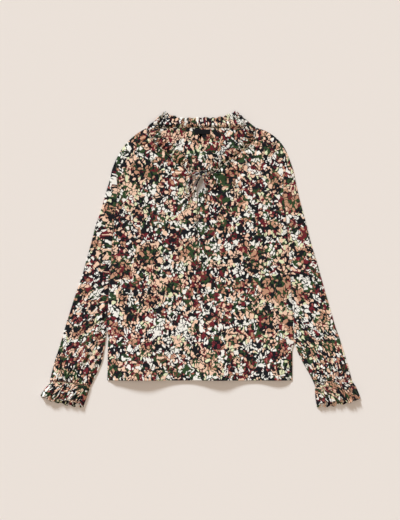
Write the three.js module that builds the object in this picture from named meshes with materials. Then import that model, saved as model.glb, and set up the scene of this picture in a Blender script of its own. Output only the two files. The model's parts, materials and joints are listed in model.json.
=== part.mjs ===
// A blouse laid flat: a gathered stand collar round a V neck that is tied with a narrow bow,
// a slit down the centre front, long sleeves, and elastic cuffs with a frill.
// Millimetres, +Z up. The back panel lies on the surface at z = 0, and +Y is the collar end.
// X runs from the sleeve on the left of a viewer above to the one on the right.

import * as THREE from 'three';

// Cloth and seams
const WALL = 1.0;               // one layer of cloth, with its hem and seam allowances in it
const SEAM_GAP = 0.6;           // between the edges of two pieces that are sewn together
const UNDER_FRONT = 3.4;        // height of the front panel's underside
const OVER_BACK = 1.3;          // the same where the front comes down on the back at a seam
const OVER_YOKE = 2.7;          // the least height of that underside anywhere else
const SEAM_ROLL = 16;           // width over which the front comes down to a seam

// Outline of the front, from the hem up. Each row runs from the centre to the side: its first
// point is on the slit or the neck seam, its second on the side seam, armhole or shoulder.
// The bow lifts the middle of the row towards the collar.
const HEM_Y = -300;
const SLIT_X = -7;
const SLIT_HALF = 0.4;
const SLIT_ROW = 4;             // the slit opens above this row
const ARMHOLE_ROW = 6;          // the armhole starts at this row, and ends at the last
const FRONT_RIGHT = [
  // centre x, y, side x, y, bow
  [SLIT_X, HEM_Y, 229.5, HEM_Y, 0],
  [SLIT_X, -235, 229.5, -235, 0],
  [SLIT_X, -165, 228.5, -165, 0],
  [SLIT_X, -100, 226, -98, 0],
  [SLIT_X, -39, 222.5, -38, 0],
  [SLIT_X + SLIT_HALF, 30, 219.5, 10, 0],
  [SLIT_X + SLIT_HALF, 104, 218.5, 52, 0],
  [-5, 166, 214, 108, 0],
  [8, 181, 209, 150, 0],
  [14, 194, 207, 176, 0],
  [14, 210, 208, 197, 1],
  [37, 221, 210.5, 216, 3],
  [91, 262, 216, 238, 7],
  [134, 301, 219, 249, 10],
  [139.5, 332, 221, 258, 15],
];
const FRONT_LEFT = [
  // centre x, y, side x, y, bow
  [SLIT_X, HEM_Y, -233, HEM_Y, 0],
  [SLIT_X, -235, -232, -235, 0],
  [SLIT_X, -165, -230, -165, 0],
  [SLIT_X, -100, -226.5, -98, 0],
  [SLIT_X, -39, -222.5, -38, 0],
  [SLIT_X - SLIT_HALF, 30, -220.5, 10, 0],
  [SLIT_X - SLIT_HALF, 104, -219.5, 52, 0],
  [-9, 166, -214.5, 108, 0],
  [-17, 181, -209.5, 150, 0],
  [-21, 193, -208, 176, 0],
  [-21, 209, -208.5, 197, 1],
  [-39, 225, -210.5, 214, 3],
  [-89, 270, -211, 233, 5],
  [-127, 305, -210.5, 246, 7],
  [-136, 331, -209, 257, 9],
];
const FRONT_STEPS = 12;         // quads across each half of the front
const FRONT_SUB = 2;            // quads between two rows of its table
const NARROWING = 1.25;         // over 1, those quads get narrower towards the side
const ARMHOLE_START = 1.5;      // rows over which the front starts to come down to the armhole

// The back has the same sides. Its inner points are on the centre back line, then on the neck
// seam, which lies nearly straight.
const BACK_INNER = [
  // share of half the neck's width, y
  [0, HEM_Y],
  [0, -235],
  [0, -165],
  [0, -100],
  [0, -39],
  [0, 30],
  [0, 104],
  [0, 160],
  [0, 210],
  [0, 255],
  [0, 295],
  [0, 330],
  [0.33, 330],
  [0.68, 330],
  [1, 331],
];
const BACK_STEPS = 4;
const BACK_INSET = 2;           // how far its sides are inside those of the front

// Inner yoke of the same cloth, sewn inside the back. It shows in the neck.
const YOKE_Z = 1.3;
const YOKE_ROWS = [
  // centre x, y, side x, y, bow
  [0, 226, 192, 226, 0],
  [0, 262, 195, 236, 3],
  [0, 298, 197, 243, 6],
  [0, 329.5, 198, 247, 8],
  [70, 329.5, 199, 249, 9],
  [124, 327, 200, 252, 11],
];
const YOKE_STEPS = 4;

// Waves of the front hem, which stands off the back
const HEM_WAVES = [
  // centre x, half width, height, run up the front
  [-150, 62, 12, 120],
  [44, 46, 11, 105],
  [188, 30, 6, 95],
];

// Soft ridges and, with a height below 0, troughs in the front, each along a line
const FRONT_FOLDS = [
  // from x, y, to x, y, half width, height
  [150, 275, 160, 180, 11, -0.5],
  [36, 205, 120, 252, 9, 0.9],
  [-52, 222, -128, 262, 10, 0.8],
  [-160, 200, -120, 60, 16, 1.1],
  [-95, 120, -110, -60, 15, -0.9],
  [70, 110, 92, -90, 15, 1.1],
  [168, 90, 140, -80, 15, -0.9],
  [205, 40, 120, -30, 12, 1.0],
  [-206, 40, -140, -20, 12, 1.0],
  [-64, -170, -68, -298, 13, -1.0],
  [136, -160, 137, -298, 12, -1.0],
];

// Sleeves, row by row from the armhole to the elastic: the underarm side, then the outer side.
// The first row follows the armhole seam.
const SLEEVE_RIGHT = [
  // inner x, y, outer x, y
  [220.4, 43, 231.5, 230],
  [220.7, 36, 238, 200],
  [221.2, 26, 245.5, 165],
  [221.8, 14, 255.5, 126],
  [222.6, 0, 264, 96],
  [223.6, -16, 271, 66],
  [224.8, -34, 279, 36],
  [226.2, -56, 289.5, 3],
  [227.8, -80, 300, -35],
  [229.4, -106, 310, -70],
  [230.8, -134, 319, -101],
  [231.8, -162, 328, -132],
  [233.2, -190, 337, -163],
  [238.5, -217, 348, -194],
  [249, -242, 357, -223],
  [262, -266, 366, -252],
  [274, -287, 372.5, -275],
  [283, -306, 377, -292],
];
const SLEEVE_LEFT = [
  // inner x, y, outer x, y
  [-221.7, 43, -220.5, 230],
  [-222, 36, -227.5, 200],
  [-222.4, 26, -238.5, 165],
  [-222.9, 14, -249, 126],
  [-223.5, 0, -260, 96],
  [-224.4, -16, -268, 66],
  [-225.6, -34, -276, 36],
  [-227.2, -56, -285, 4],
  [-229.2, -80, -295, -33],
  [-231.2, -106, -307, -68],
  [-233.2, -134, -318, -100],
  [-234.6, -162, -328, -132],
  [-236.5, -192, -338, -164],
  [-241, -222, -347, -196],
  [-246, -250, -357, -227],
  [-255.5, -274, -366, -256],
  [-265, -294, -372.5, -281],
  [-273.5, -311, -377, -299],
];
const SLEEVE_UPPER = 20;        // quads across the upper layer
const SLEEVE_LOWER = 5;
const FOLD_HEIGHT = 2.6;        // between the middles of the two layers, at their folded edges
const FOLD_TURNS = [-0.8, 0, 0.8];  // angles of the points round a fold, in radians
const LEAST_SINE = 0.12;        // limits the folds where a row runs along its edge
const ARMHOLE_ROWS = 7;         // rows over which the armhole's curve straightens out
const SLEEVE_EDGE = 0.12;       // share of the width over which the upper layer rises
const SLEEVE_BELLY = 0.9;       // how much higher that layer is away from the edges
const CUFF_BELLY = 5.2;         // the same at the elastic
const FULL_FROM = 0.72;         // share of the sleeve's length where it starts to fill out
const FRILL_RISE = 2;           // how much more at the frill's free edge
const SLEEVE_CREASES = [
  // share across at the top, at the cuff, half width as a share, height
  [0.55, 0.34, 0.07, 0.9],
  [0.8, 0.62, 0.06, 0.7],
  [0.3, 0.14, 0.05, -0.7],
];
const CREASE_START = [0.15, 0.4];   // shares of the length between which the creases deepen
const SLEEVE_GATHERS = 9;       // above the elastic
const SLEEVE_GATHER_HEIGHT = 1.0;
const GATHERS_FROM = 0.8;       // share of the length where they start

// Cuffs: an elastic seam and a frill, open at the free edge
const CUFF_RIGHT = [
  // inner x, y, outer x, y, bow, gather height
  [283.3, -306.7, 377.3, -292.7, 0, 0.7],
  [286.5, -315, 379, -300.5, 0, 0.7],
  [286.5, -337, 390, -317, -3, 1.5],
  [291, -367, 401, -344, -6, 2.5],
];
const CUFF_LEFT = [
  // inner x, y, outer x, y, bow, gather height
  [-273.8, -311.7, -377.2, -299.7, 0, 0.7],
  [-277, -320, -377.5, -307, 0, 0.7],
  [-284, -341, -389, -320, -3, 1.5],
  [-293, -367, -401, -338, -6, 2.5],
];
const CUFF_WAVES = 12;          // gathers in each layer
const CUFF_COLUMNS = 4;         // quads in each gather
const UNDER_WAVES = 0.3;        // height of the lower layer's waves as a share of the upper's
const CUFF_EDGE = 0.08;         // share of the width over which each layer's waves start
const CUFF_PHASES = [2.1, 0.4]; // of the lower layer's waves and the upper's
const FRILL_UNDER_SHOWS = 8;    // how far the lower layer runs on past the upper

// Collar: lines across the strip, from the left end of the neck seam round the back to the
// right end. Each has a point at the seam, one half way across and one at the free edge.
const COLLAR_LINES = [
  // seam x, y, z, half way x, y, z, edge x, y, z
  [-20.5, 210, 3.9, -19.5, 219, 7.2, -18.5, 229, 10],
  [-38.5, 225.6, 3.9, -33, 235, 7.2, -27.5, 245, 10.4],
  [-66, 250, 3.9, -59, 260, 7.4, -50, 270.5, 10.8],
  [-88.5, 270.6, 3.9, -80, 280, 7.6, -69.5, 290, 11],
  [-110, 290, 3.9, -100.5, 298, 7.8, -88, 305.5, 11],
  [-125.8, 305.5, 3.8, -114.5, 311, 7.8, -101, 316, 11],
  [-130.4, 319, 3.2, -119, 324, 7.4, -106, 328.5, 10.8],
  [-134.4, 331.8, 1.7, -123.5, 338.6, 6.3, -107, 344, 10.4],
  [-129, 331.6, 1.1, -119.5, 343.8, 4.6, -102, 355.5, 9.2],
  [-117, 331.2, 1.1, -108, 352, 3.6, -95.5, 364.5, 6.6],
  [-102, 330.8, 1.1, -96, 350.5, 2.6, -89, 372.5, 3.6],
  [-84, 330.6, 1.1, -79, 347, 2.4, -72, 363.5, 3.2],
  [-57, 330.6, 1.1, -53, 344, 2.4, -49, 357, 3.2],
  [-26, 330.6, 1.1, -24, 344, 2.4, -22, 357, 3.2],
  [4, 330.6, 1.1, 4, 344, 2.4, 4, 358, 3.2],
  [34, 330.6, 1.1, 32, 344, 2.4, 30, 357, 3.2],
  [62, 330.6, 1.1, 57.5, 345, 2.4, 53, 360, 3.2],
  [88, 330.6, 1.1, 82, 348, 2.4, 74, 367, 3.2],
  [105, 330.8, 1.1, 98, 351, 2.6, 89, 373.5, 3.6],
  [119.5, 331.2, 1.1, 110, 351, 3.6, 96.5, 365.5, 6.6],
  [132, 331.6, 1.1, 121.5, 344.5, 4.6, 105, 357, 9.2],
  [137.4, 333, 1.7, 125.5, 338.6, 6.3, 110.5, 345, 10.4],
  [135.8, 317, 3.2, 124.5, 321, 7.4, 112, 326, 10.8],
  [132.9, 301.6, 3.8, 122, 306, 7.8, 111, 311, 11],
  [114, 284, 3.9, 106, 291.5, 7.8, 96.5, 299, 11],
  [90.4, 262.6, 3.9, 82.5, 271.5, 7.6, 74, 281, 11],
  [63, 241, 3.9, 55, 252, 7.4, 46, 263.5, 10.8],
  [36.6, 221.6, 3.9, 32, 233, 7.2, 27, 245, 10.4],
  [14.6, 211.2, 3.9, 17, 221.5, 7.2, 19.5, 232, 10],
];
const BINDING_WIDTH = 4.5;      // the narrow binding between the neck seam and the gathers
const GATHER_GAP = 1.1;         // from the binding to the gathers
const COLLAR_GATHERS = 56;
const COLLAR_COLUMNS = 4;       // quads in each gather
const COLLAR_GATHER_HEIGHT = 1.7;
const COLLAR_ACROSS = [0, 0.34, 0.68, 1];   // rows from the binding to the free edge
const COLLAR_SUB = 8;           // smooth lines to each gap between two lines of the table
const BINDING_STEPS = 70;

// Bow at the V
const TIE = 3.8;                // diameter of the narrow ties, which have eight sides
const KNOT = [4, 218.2, 8.3];
const KNOT_SIZE = [7, 6, 3.6];
const TIES = {
  tie_strand_left: [[-19.1, 212.1, 5.5], [-10.5, 214.9, 6.5], [-3, 217.3, 7.5]],
  tie_loop_left: [[-2.9, 222.1, 9.2], [-12, 222, 11.4], [-25, 210, 11.8], [-37, 190, 10.6],
    [-39, 172, 7.6], [-31, 165.5, 6.6], [-25, 178, 6.6], [-17, 196, 6.6], [-2.9, 213.1, 7.3]],
  tie_loop_right: [[10.9, 221.9, 9.3], [20, 221.6, 11.2], [34, 208, 11.4], [41, 191, 9.6],
    [36, 179.5, 6.6], [28, 184, 6.6], [21.5, 197, 6.8], [10.2, 214.3, 8]],
  tie_end_left: [[1.2, 212.3, 6.9], [-7.5, 195, 6.7], [-18.5, 172, 6.6], [-29, 151, 6.6],
    [-36, 134, 6.6]],
  tie_end_right: [[5.6, 212.1, 7.2], [12, 192, 6.7], [14, 168, 6.6], [9, 145, 6.6]],
};

// Bare label inside the back neck
const LABEL = [40, 12, 0.8];
const LABEL_PLACE = [4, 322, 3.1];

const PRINT = '#4a3f38';
const PRINT_SHADE = '#43382f';
const LABEL_BLACK = '#1b1b1f';

const group = new THREE.Group();

function add(name, geometry, color, roughness) {
  const material = new THREE.MeshStandardMaterial({ color, roughness, metalness: 0 });
  const mesh = new THREE.Mesh(geometry, material);
  mesh.name = name;
  group.add(mesh);
}

// One closed body from the middle surface of a piece of cloth: half the wall on each side of
// it, and a rim along each free edge. The quads of a slanted piece are cut along their shorter
// diagonals.
function cloth(name, points, quads, color, slanted = false) {
  const triangles = quads.flatMap(([a, b, c, d]) => {
    const other = slanted && points[a].distanceTo(points[c]) > points[b].distanceTo(points[d]);
    return other ? [[a, b, d], [b, c, d]] : [[a, b, c], [a, c, d]];
  });
  const normals = points.map(() => new THREE.Vector3());
  const used = new Set();
  for (const [a, b, c] of triangles) {
    const ab = points[b].clone().sub(points[a]);
    const ac = points[c].clone().sub(points[a]);
    const area = ab.cross(ac);
    for (const corner of [a, b, c]) {
      normals[corner].add(area);
    }
    used.add(`${a} ${b}`).add(`${b} ${c}`).add(`${c} ${a}`);
  }
  const position = [];
  for (const side of [1, -1]) {
    points.forEach((point, i) => {
      const offset = normals[i].clone().normalize().multiplyScalar(side * WALL / 2);
      position.push(...point.clone().add(offset).toArray());
    });
  }
  const index = [];
  const n = points.length;
  for (const [a, b, c] of triangles) {
    index.push(a, b, c, n + a, n + c, n + b);
    for (const [i, j] of [[a, b], [b, c], [c, a]]) {
      if (!used.has(`${j} ${i}`)) {
        index.push(j, i, n + i, j, n + i, n + j);
      }
    }
  }
  const geometry = new THREE.BufferGeometry();
  geometry.setAttribute('position', new THREE.Float32BufferAttribute(position, 3));
  geometry.setIndex(index);
  add(name, geometry, color, 0.85);
}

// Rows of points that run along the piece, as quads; closed rows join up into a tube.
function grid(rows, closed) {
  const wide = rows[0].length;
  const quads = [];
  for (let r = 0; r + 1 < rows.length; r += 1) {
    for (let c = 0; c < wide - (closed ? 0 : 1); c += 1) {
      const next = (c + 1) % wide;
      quads.push([r * wide + c, r * wide + next, (r + 1) * wide + next, (r + 1) * wide + c]);
    }
  }
  return quads;
}

const smooth = (t) => {
  const x = Math.min(1, Math.max(0, t));
  return x * x * (3 - 2 * x);
};
const bell = (t) => Math.exp(-t * t);

// Smooth rows between the rows of a table, sub to each gap
function refine(table, sub) {
  const last = table.length - 1;
  const out = [];
  for (let k = 0; k <= last * sub; k += 1) {
    const i = Math.min(last - 1, Math.floor(k / sub));
    const t = k / sub - i;
    const near = [i - 1, i, i + 1, i + 2].map((j) => Math.min(last, Math.max(0, j)));
    const [p0, p1, p2, p3] = near.map((j) => table[j]);
    out.push(p1.map((v, c) => v + 0.5 * t * (p2[c] - p0[c]
      + t * (2 * p0[c] - 5 * v + 4 * p2[c] - p3[c] + t * (3 * (v - p2[c]) + p3[c] - p0[c])))));
  }
  return out;
}

// A point at share s of the row, bowed towards the collar
function onRow([ax, ay, bx, by, bow = 0], s) {
  const long = Math.hypot(bx - ax, by - ay);
  const lift = 4 * s * (1 - s) * bow / long;
  const side = Math.sign(bx - ax);
  return [
    ax + s * (bx - ax) - side * lift * (by - ay),
    ay + s * (by - ay) + side * lift * (bx - ax),
  ];
}

// Height that a soft fold along a line adds at a place
function alongLine(x, y, [x1, y1, x2, y2, width, height]) {
  const dx = x2 - x1;
  const dy = y2 - y1;
  const long = Math.hypot(dx, dy);
  const t = ((x - x1) * dx + (y - y1) * dy) / (long * long);
  const off = ((x - x1) * dy - (y - y1) * dx) / long;
  return height * bell(off / width) * smooth(t / 0.3) * smooth((1 - t) / 0.3);
}

// Height of the middle of the front panel at a place, toSeam away from the seam nearest to it
// that joins the front to the back
function frontHeight(x, y, toSeam) {
  let under = UNDER_FRONT;
  for (const fold of FRONT_FOLDS) {
    under += alongLine(x, y, fold);
  }
  for (const [centre, half, height, run] of HEM_WAVES) {
    under += height * bell((x - centre) / half) * bell((y - HEM_Y) / run);
  }
  under = Math.max(under, OVER_YOKE);
  return OVER_BACK + (under - OVER_BACK) * smooth(toSeam / SEAM_ROLL) + WALL / 2;
}

// One half of the front as rows of points, from the hem up and from the centre to the side
function halfFront(table) {
  const rows = refine(table, FRONT_SUB);
  const last = rows.length - 1;
  return rows.map((row, r) => {
    const intoArmhole = smooth((r / FRONT_SUB - ARMHOLE_ROW) / ARMHOLE_START);
    const points = [];
    for (let c = 0; c <= FRONT_STEPS; c += 1) {
      const s = 1 - (1 - c / FRONT_STEPS) ** NARROWING;
      const [x, y] = onRow(row, s);
      const toSide = Math.hypot(row[2] - row[0], row[3] - row[1]) * (1 - s);
      const [topX, topY] = onRow(rows[last], s);
      const toShoulder = Math.hypot(topX - x, topY - y);
      const toSeam = Math.min(toShoulder, toSide + intoArmhole * SEAM_ROLL);
      points.push(new THREE.Vector3(x, y, frontHeight(x, y, toSeam)));
    }
    return points;
  });
}

// The two halves share their centre points up to the row where the slit starts.
function front() {
  const right = halfFront(FRONT_RIGHT);
  const left = halfFront(FRONT_LEFT);
  const shared = SLIT_ROW * FRONT_SUB;
  const points = right.flat();
  const wide = FRONT_STEPS + 1;
  const quads = grid(right, false);
  const leftIndex = left.map((row, r) => row.map((point, c) => {
    if (c === 0 && r <= shared) {
      return r * wide;
    }
    points.push(point);
    return points.length - 1;
  }));
  for (let r = 0; r + 1 < left.length; r += 1) {
    for (let c = 0; c < FRONT_STEPS; c += 1) {
      const [low, high] = [leftIndex[r], leftIndex[r + 1]];
      quads.push([low[c + 1], low[c], high[c], high[c + 1]]);
    }
  }
  cloth('front', points, quads, PRINT);
}

// A flat panel of two mirrored halves that share the centre line up to the row where it ends
function flatPanel(name, rightTable, leftTable, steps, z, color) {
  const points = [];
  const quads = [];
  const key = new Map();
  const at = (table, r, c) => {
    const [x, y] = onRow(table[r], c / steps);
    const id = `${x.toFixed(3)} ${y.toFixed(3)}`;
    if (!key.has(id)) {
      key.set(id, points.length);
      points.push(new THREE.Vector3(x, y, z));
    }
    return key.get(id);
  };
  for (const [table, side] of [[rightTable, 1], [leftTable, -1]]) {
    for (let r = 0; r + 1 < table.length; r += 1) {
      for (let c = 0; c < steps; c += 1) {
        const corners = [[r, c], [r, c + 1], [r + 1, c + 1], [r + 1, c]];
        const quad = corners.map(([row, column]) => at(table, row, column));
        quads.push(side > 0 ? quad : quad.reverse());
      }
    }
  }
  cloth(name, points, quads, color);
}

function back() {
  const half = (table) => BACK_INNER.map(([share, y], i) => {
    const [, , sideX, sideY, bow] = table[i];
    const neck = table[table.length - 1][0];
    return [share * neck, y, sideX - Math.sign(sideX) * BACK_INSET, sideY, bow];
  });
  flatPanel('back', half(FRONT_RIGHT), half(FRONT_LEFT), BACK_STEPS, WALL / 2, PRINT);
}

function innerYoke() {
  const left = YOKE_ROWS.map(([ax, ay, bx, by, bow]) => [-ax, ay, -bx + 2, by, bow]);
  flatPanel('inner_yoke', YOKE_ROWS, left, YOKE_STEPS, YOKE_Z + WALL / 2, PRINT_SHADE);
}

// How square a row stands to the two edges of its piece, as the sine of the angle at each
function squareness(rows, r) {
  const row = rows[r];
  const before = rows[Math.max(0, r - 1)];
  const after = rows[Math.min(rows.length - 1, r + 1)];
  const dx = row[2] - row[0];
  const dy = row[3] - row[1];
  return [0, 2].map((c) => {
    const tx = after[c] - before[c];
    const ty = after[c + 1] - before[c + 1];
    const sine = Math.abs(dx * ty - dy * tx) / Math.hypot(dx, dy) / Math.hypot(tx, ty);
    return Math.max(LEAST_SINE, sine);
  });
}

// A ring of a tube that lies flat: the lower layer from the inner edge to the outer, a round
// fold, the upper layer back, and the other fold. place(s) is the point at share s.
function ring(rows, r, place, upperSteps, lowerSteps, lowerLift, upperLift) {
  const [ax, ay, bx, by] = rows[r];
  const long = Math.hypot(bx - ax, by - ay);
  const radius = FOLD_HEIGHT / 2;
  const [inner, outer] = squareness(rows, r).map((sine) => radius / sine / long);
  const [start, end] = [inner, outer].map((reach) => reach * (1 + WALL / 2 / radius));
  const points = [];
  const put = (s, z) => {
    const [x, y] = place(s);
    points.push(new THREE.Vector3(x, y, z));
  };
  const layer = (t) => start + (1 - start - end) * t;
  for (let i = 0; i <= lowerSteps; i += 1) {
    const t = i / lowerSteps;
    put(layer(t), WALL / 2 + lowerLift(t));
  }
  for (const turn of FOLD_TURNS) {
    put(1 - end + outer * Math.cos(turn), WALL / 2 + radius + radius * Math.sin(turn));
  }
  for (let i = 0; i <= upperSteps; i += 1) {
    const t = 1 - i / upperSteps;
    put(layer(t), WALL / 2 + FOLD_HEIGHT + upperLift(t));
  }
  for (const turn of FOLD_TURNS) {
    put(start - inner * Math.cos(turn), WALL / 2 + radius - radius * Math.sin(turn));
  }
  return points;
}

// The rows of a table as a function of the distance along the line through their first columns
function byLength(rows) {
  const size = Math.min(3, rows[0].length);
  const long = [0];
  for (let i = 1; i < rows.length; i += 1) {
    const step = rows[i].slice(0, size).map((v, c) => v - rows[i - 1][c]);
    long.push(long[i - 1] + Math.hypot(...step));
  }
  const at = (distance) => {
    let i = 0;
    while (i + 2 < long.length && long[i + 1] < distance) {
      i += 1;
    }
    const t = (distance - long[i]) / (long[i + 1] - long[i]);
    return rows[i].map((v, c) => v + t * (rows[i + 1][c] - v));
  };
  at.total = long[long.length - 1];
  return at;
}

// The armhole seam as a line from the underarm to the shoulder, moved out past the seam
function armhole(table) {
  const side = Math.sign(table[0][2]);
  const line = refine(table.map((row) => [row[2] + side * SEAM_GAP, row[3]]), FRONT_SUB)
    .slice(ARMHOLE_ROW * FRONT_SUB);
  const lineAt = byLength(line);
  return (s) => lineAt(s * lineAt.total);
}

function sleeve(name, table, bodyTable) {
  const seam = armhole(bodyTable);
  const rows = [[...seam(0), ...seam(1)], ...table];
  const last = rows.length - 1;
  const rings = rows.map((row, r) => {
    const down = r / last;
    const curve = Math.max(0, 1 - r / ARMHOLE_ROWS);
    const place = (s) => {
      const [x, y] = onRow(row, s);
      const [seamX, seamY] = seam(s);
      const [chordX, chordY] = onRow(rows[0], s);
      return [x + curve * (seamX - chordX), y + curve * (seamY - chordY)];
    };
    const full = smooth((down - FULL_FROM) / (1 - FULL_FROM));
    const belly = SLEEVE_BELLY + (CUFF_BELLY - SLEEVE_BELLY) * full;
    const creased = smooth((down - CREASE_START[0]) / (CREASE_START[1] - CREASE_START[0]));
    const gathered = smooth((down - GATHERS_FROM) / (1 - GATHERS_FROM));
    const upperLift = (t) => {
      const dome = smooth(t / SLEEVE_EDGE) * smooth((1 - t) / SLEEVE_EDGE);
      let lift = belly;
      for (const [top, cuff, half, height] of SLEEVE_CREASES) {
        lift += height * creased * bell((t - top - (cuff - top) * down) / half);
      }
      const uneven = t + 0.015 * Math.sin(9 * t);
      lift += SLEEVE_GATHER_HEIGHT * gathered * Math.sin(2 * Math.PI * SLEEVE_GATHERS * uneven);
      return dome * lift;
    };
    return ring(rows, r, place, SLEEVE_UPPER, SLEEVE_LOWER, () => 0, upperLift);
  });
  cloth(name, rings.flat(), grid(rings, true), PRINT, true);
}

function cuff(name, table) {
  const steps = CUFF_WAVES * CUFF_COLUMNS;
  const last = table.length - 1;
  const rings = table.map((row, r) => {
    const height = row[5];
    const free = r / last;
    const wave = (t, phase) => {
      const uneven = t + 0.012 * Math.sin(8 * t + phase);
      return Math.sin(2 * Math.PI * CUFF_WAVES * uneven + phase);
    };
    const ends = (t) => smooth(t / CUFF_EDGE) * smooth((1 - t) / CUFF_EDGE);
    const [low, high] = CUFF_PHASES;
    const lowerLift = (t) => ends(t) * UNDER_WAVES * height * (1 + wave(t, low));
    const upperLift = (t) => ends(t) * (CUFF_BELLY + FRILL_RISE * free + height * wave(t, high));
    const points = ring(table, r, (s) => onRow(row, s), steps, steps, lowerLift, upperLift);
    const firstUpper = steps + 1 + FOLD_TURNS.length;
    for (let i = 0; i <= steps; i += 1) {
      const t = 1 - i / steps;
      const showing = smooth(t / 0.1) * smooth((0.75 - t) / 0.2);
      points[firstUpper + i].y += FRILL_UNDER_SHOWS * free * showing;
    }
    return points;
  });
  cloth(name, rings.flat(), grid(rings, true), PRINT);
}

// A point on one line of the collar, at a share of the way from the seam to the free edge
function onCollar(line, share) {
  const point = (i) => new THREE.Vector3(line[3 * i], line[3 * i + 1], line[3 * i + 2]);
  const [seam, mid, edge] = [point(0), point(1), point(2)];
  return seam.multiplyScalar((1 - share) * (1 - 2 * share))
    .addScaledVector(mid, 4 * share * (1 - share))
    .addScaledVector(edge, share * (2 * share - 1));
}

// The gathered strip, and the binding along its seam
function collar() {
  const count = COLLAR_GATHERS * COLLAR_COLUMNS;
  const lineAt = byLength(refine(COLLAR_LINES, COLLAR_SUB));
  const { total } = lineAt;
  const shareOf = (line, width) => {
    const toMiddle = Math.hypot(...[0, 1, 2].map((c) => line[3 + c] - line[c]));
    return width / (2 * toMiddle);
  };

  const columns = [];
  for (let k = 0; k <= count; k += 1) {
    const line = lineAt(total * k / count);
    const start = shareOf(line, BINDING_WIDTH + GATHER_GAP);
    columns.push(COLLAR_ACROSS.map((t) => onCollar(line, start + t * (1 - start))));
  }
  const rows = COLLAR_ACROSS.map((t, r) => columns.map((column, k) => {
    const before = columns[Math.max(0, k - 1)][r];
    const after = columns[Math.min(count, k + 1)][r];
    const along = after.clone().sub(before);
    const outward = column[Math.min(3, r + 1)].clone().sub(column[Math.max(0, r - 1)]);
    const normal = outward.cross(along).normalize();
    const u = k / COLLAR_COLUMNS;
    const wave = Math.sin(2 * Math.PI * u + 0.9 * Math.sin(0.83 * u) + 0.6 * Math.sin(2.1 * u));
    const size = 0.72 + 0.28 * Math.sin(1.7 * u + 0.5);
    return column[r].clone().addScaledVector(normal, COLLAR_GATHER_HEIGHT * size * t * wave);
  }));
  cloth('collar', rows.flat(), grid(rows, false), PRINT);

  const bindingRows = [0, 1].map((edge) => {
    const points = [];
    for (let k = 0; k <= BINDING_STEPS; k += 1) {
      const line = lineAt(total * k / BINDING_STEPS);
      points.push(onCollar(line, edge * shareOf(line, BINDING_WIDTH)));
    }
    return points;
  });
  cloth('neck_binding', bindingRows.flat(), grid(bindingRows, false), PRINT_SHADE);
}

function tie(name, route) {
  const path = new THREE.CatmullRomCurve3(route.map((p) => new THREE.Vector3(...p)));
  const section = new THREE.Shape();
  for (let i = 0; i < 8; i += 1) {
    const turn = Math.PI * (i / 4 + 1 / 8);
    const spot = [TIE / 2 * Math.cos(turn), TIE / 2 * Math.sin(turn)];
    if (i === 0) {
      section.moveTo(...spot);
    } else {
      section.lineTo(...spot);
    }
  }
  const steps = Math.max(6, 2 * (route.length - 1));
  const options = { steps, extrudePath: path, bevelEnabled: false };
  add(name, new THREE.ExtrudeGeometry(section, options), PRINT, 0.85);
}

function knotAndLabel() {
  const knot = new THREE.IcosahedronGeometry(1, 2);
  knot.scale(...KNOT_SIZE);
  knot.translate(...KNOT);
  add('tie_knot', knot, PRINT, 0.85);
  const label = new THREE.BoxGeometry(...LABEL);
  label.translate(...LABEL_PLACE);
  add('label', label, LABEL_BLACK, 0.7);
}

front();
back();
innerYoke();
sleeve('sleeve_right', SLEEVE_RIGHT, FRONT_RIGHT);
sleeve('sleeve_left', SLEEVE_LEFT, FRONT_LEFT);
cuff('cuff_right', CUFF_RIGHT);
cuff('cuff_left', CUFF_LEFT);
collar();
for (const [name, route] of Object.entries(TIES)) {
  tie(name, route);
}
knotAndLabel();

export default group;
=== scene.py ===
# %% [markdown]
# # A printed blouse, laid flat
# The blouse lies on its back on a pale floor and is seen from straight above. It is light, soft
# cloth with a dense print of small dabs: a gathered stand collar round a V neck, a narrow bow,
# a slit down the centre front, long sleeves, and elastic cuffs that end in a frill.
# This script dresses the measured model with thin shells of cloth. Its first step loads that
# model, so every piece below can go where the model says.

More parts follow.
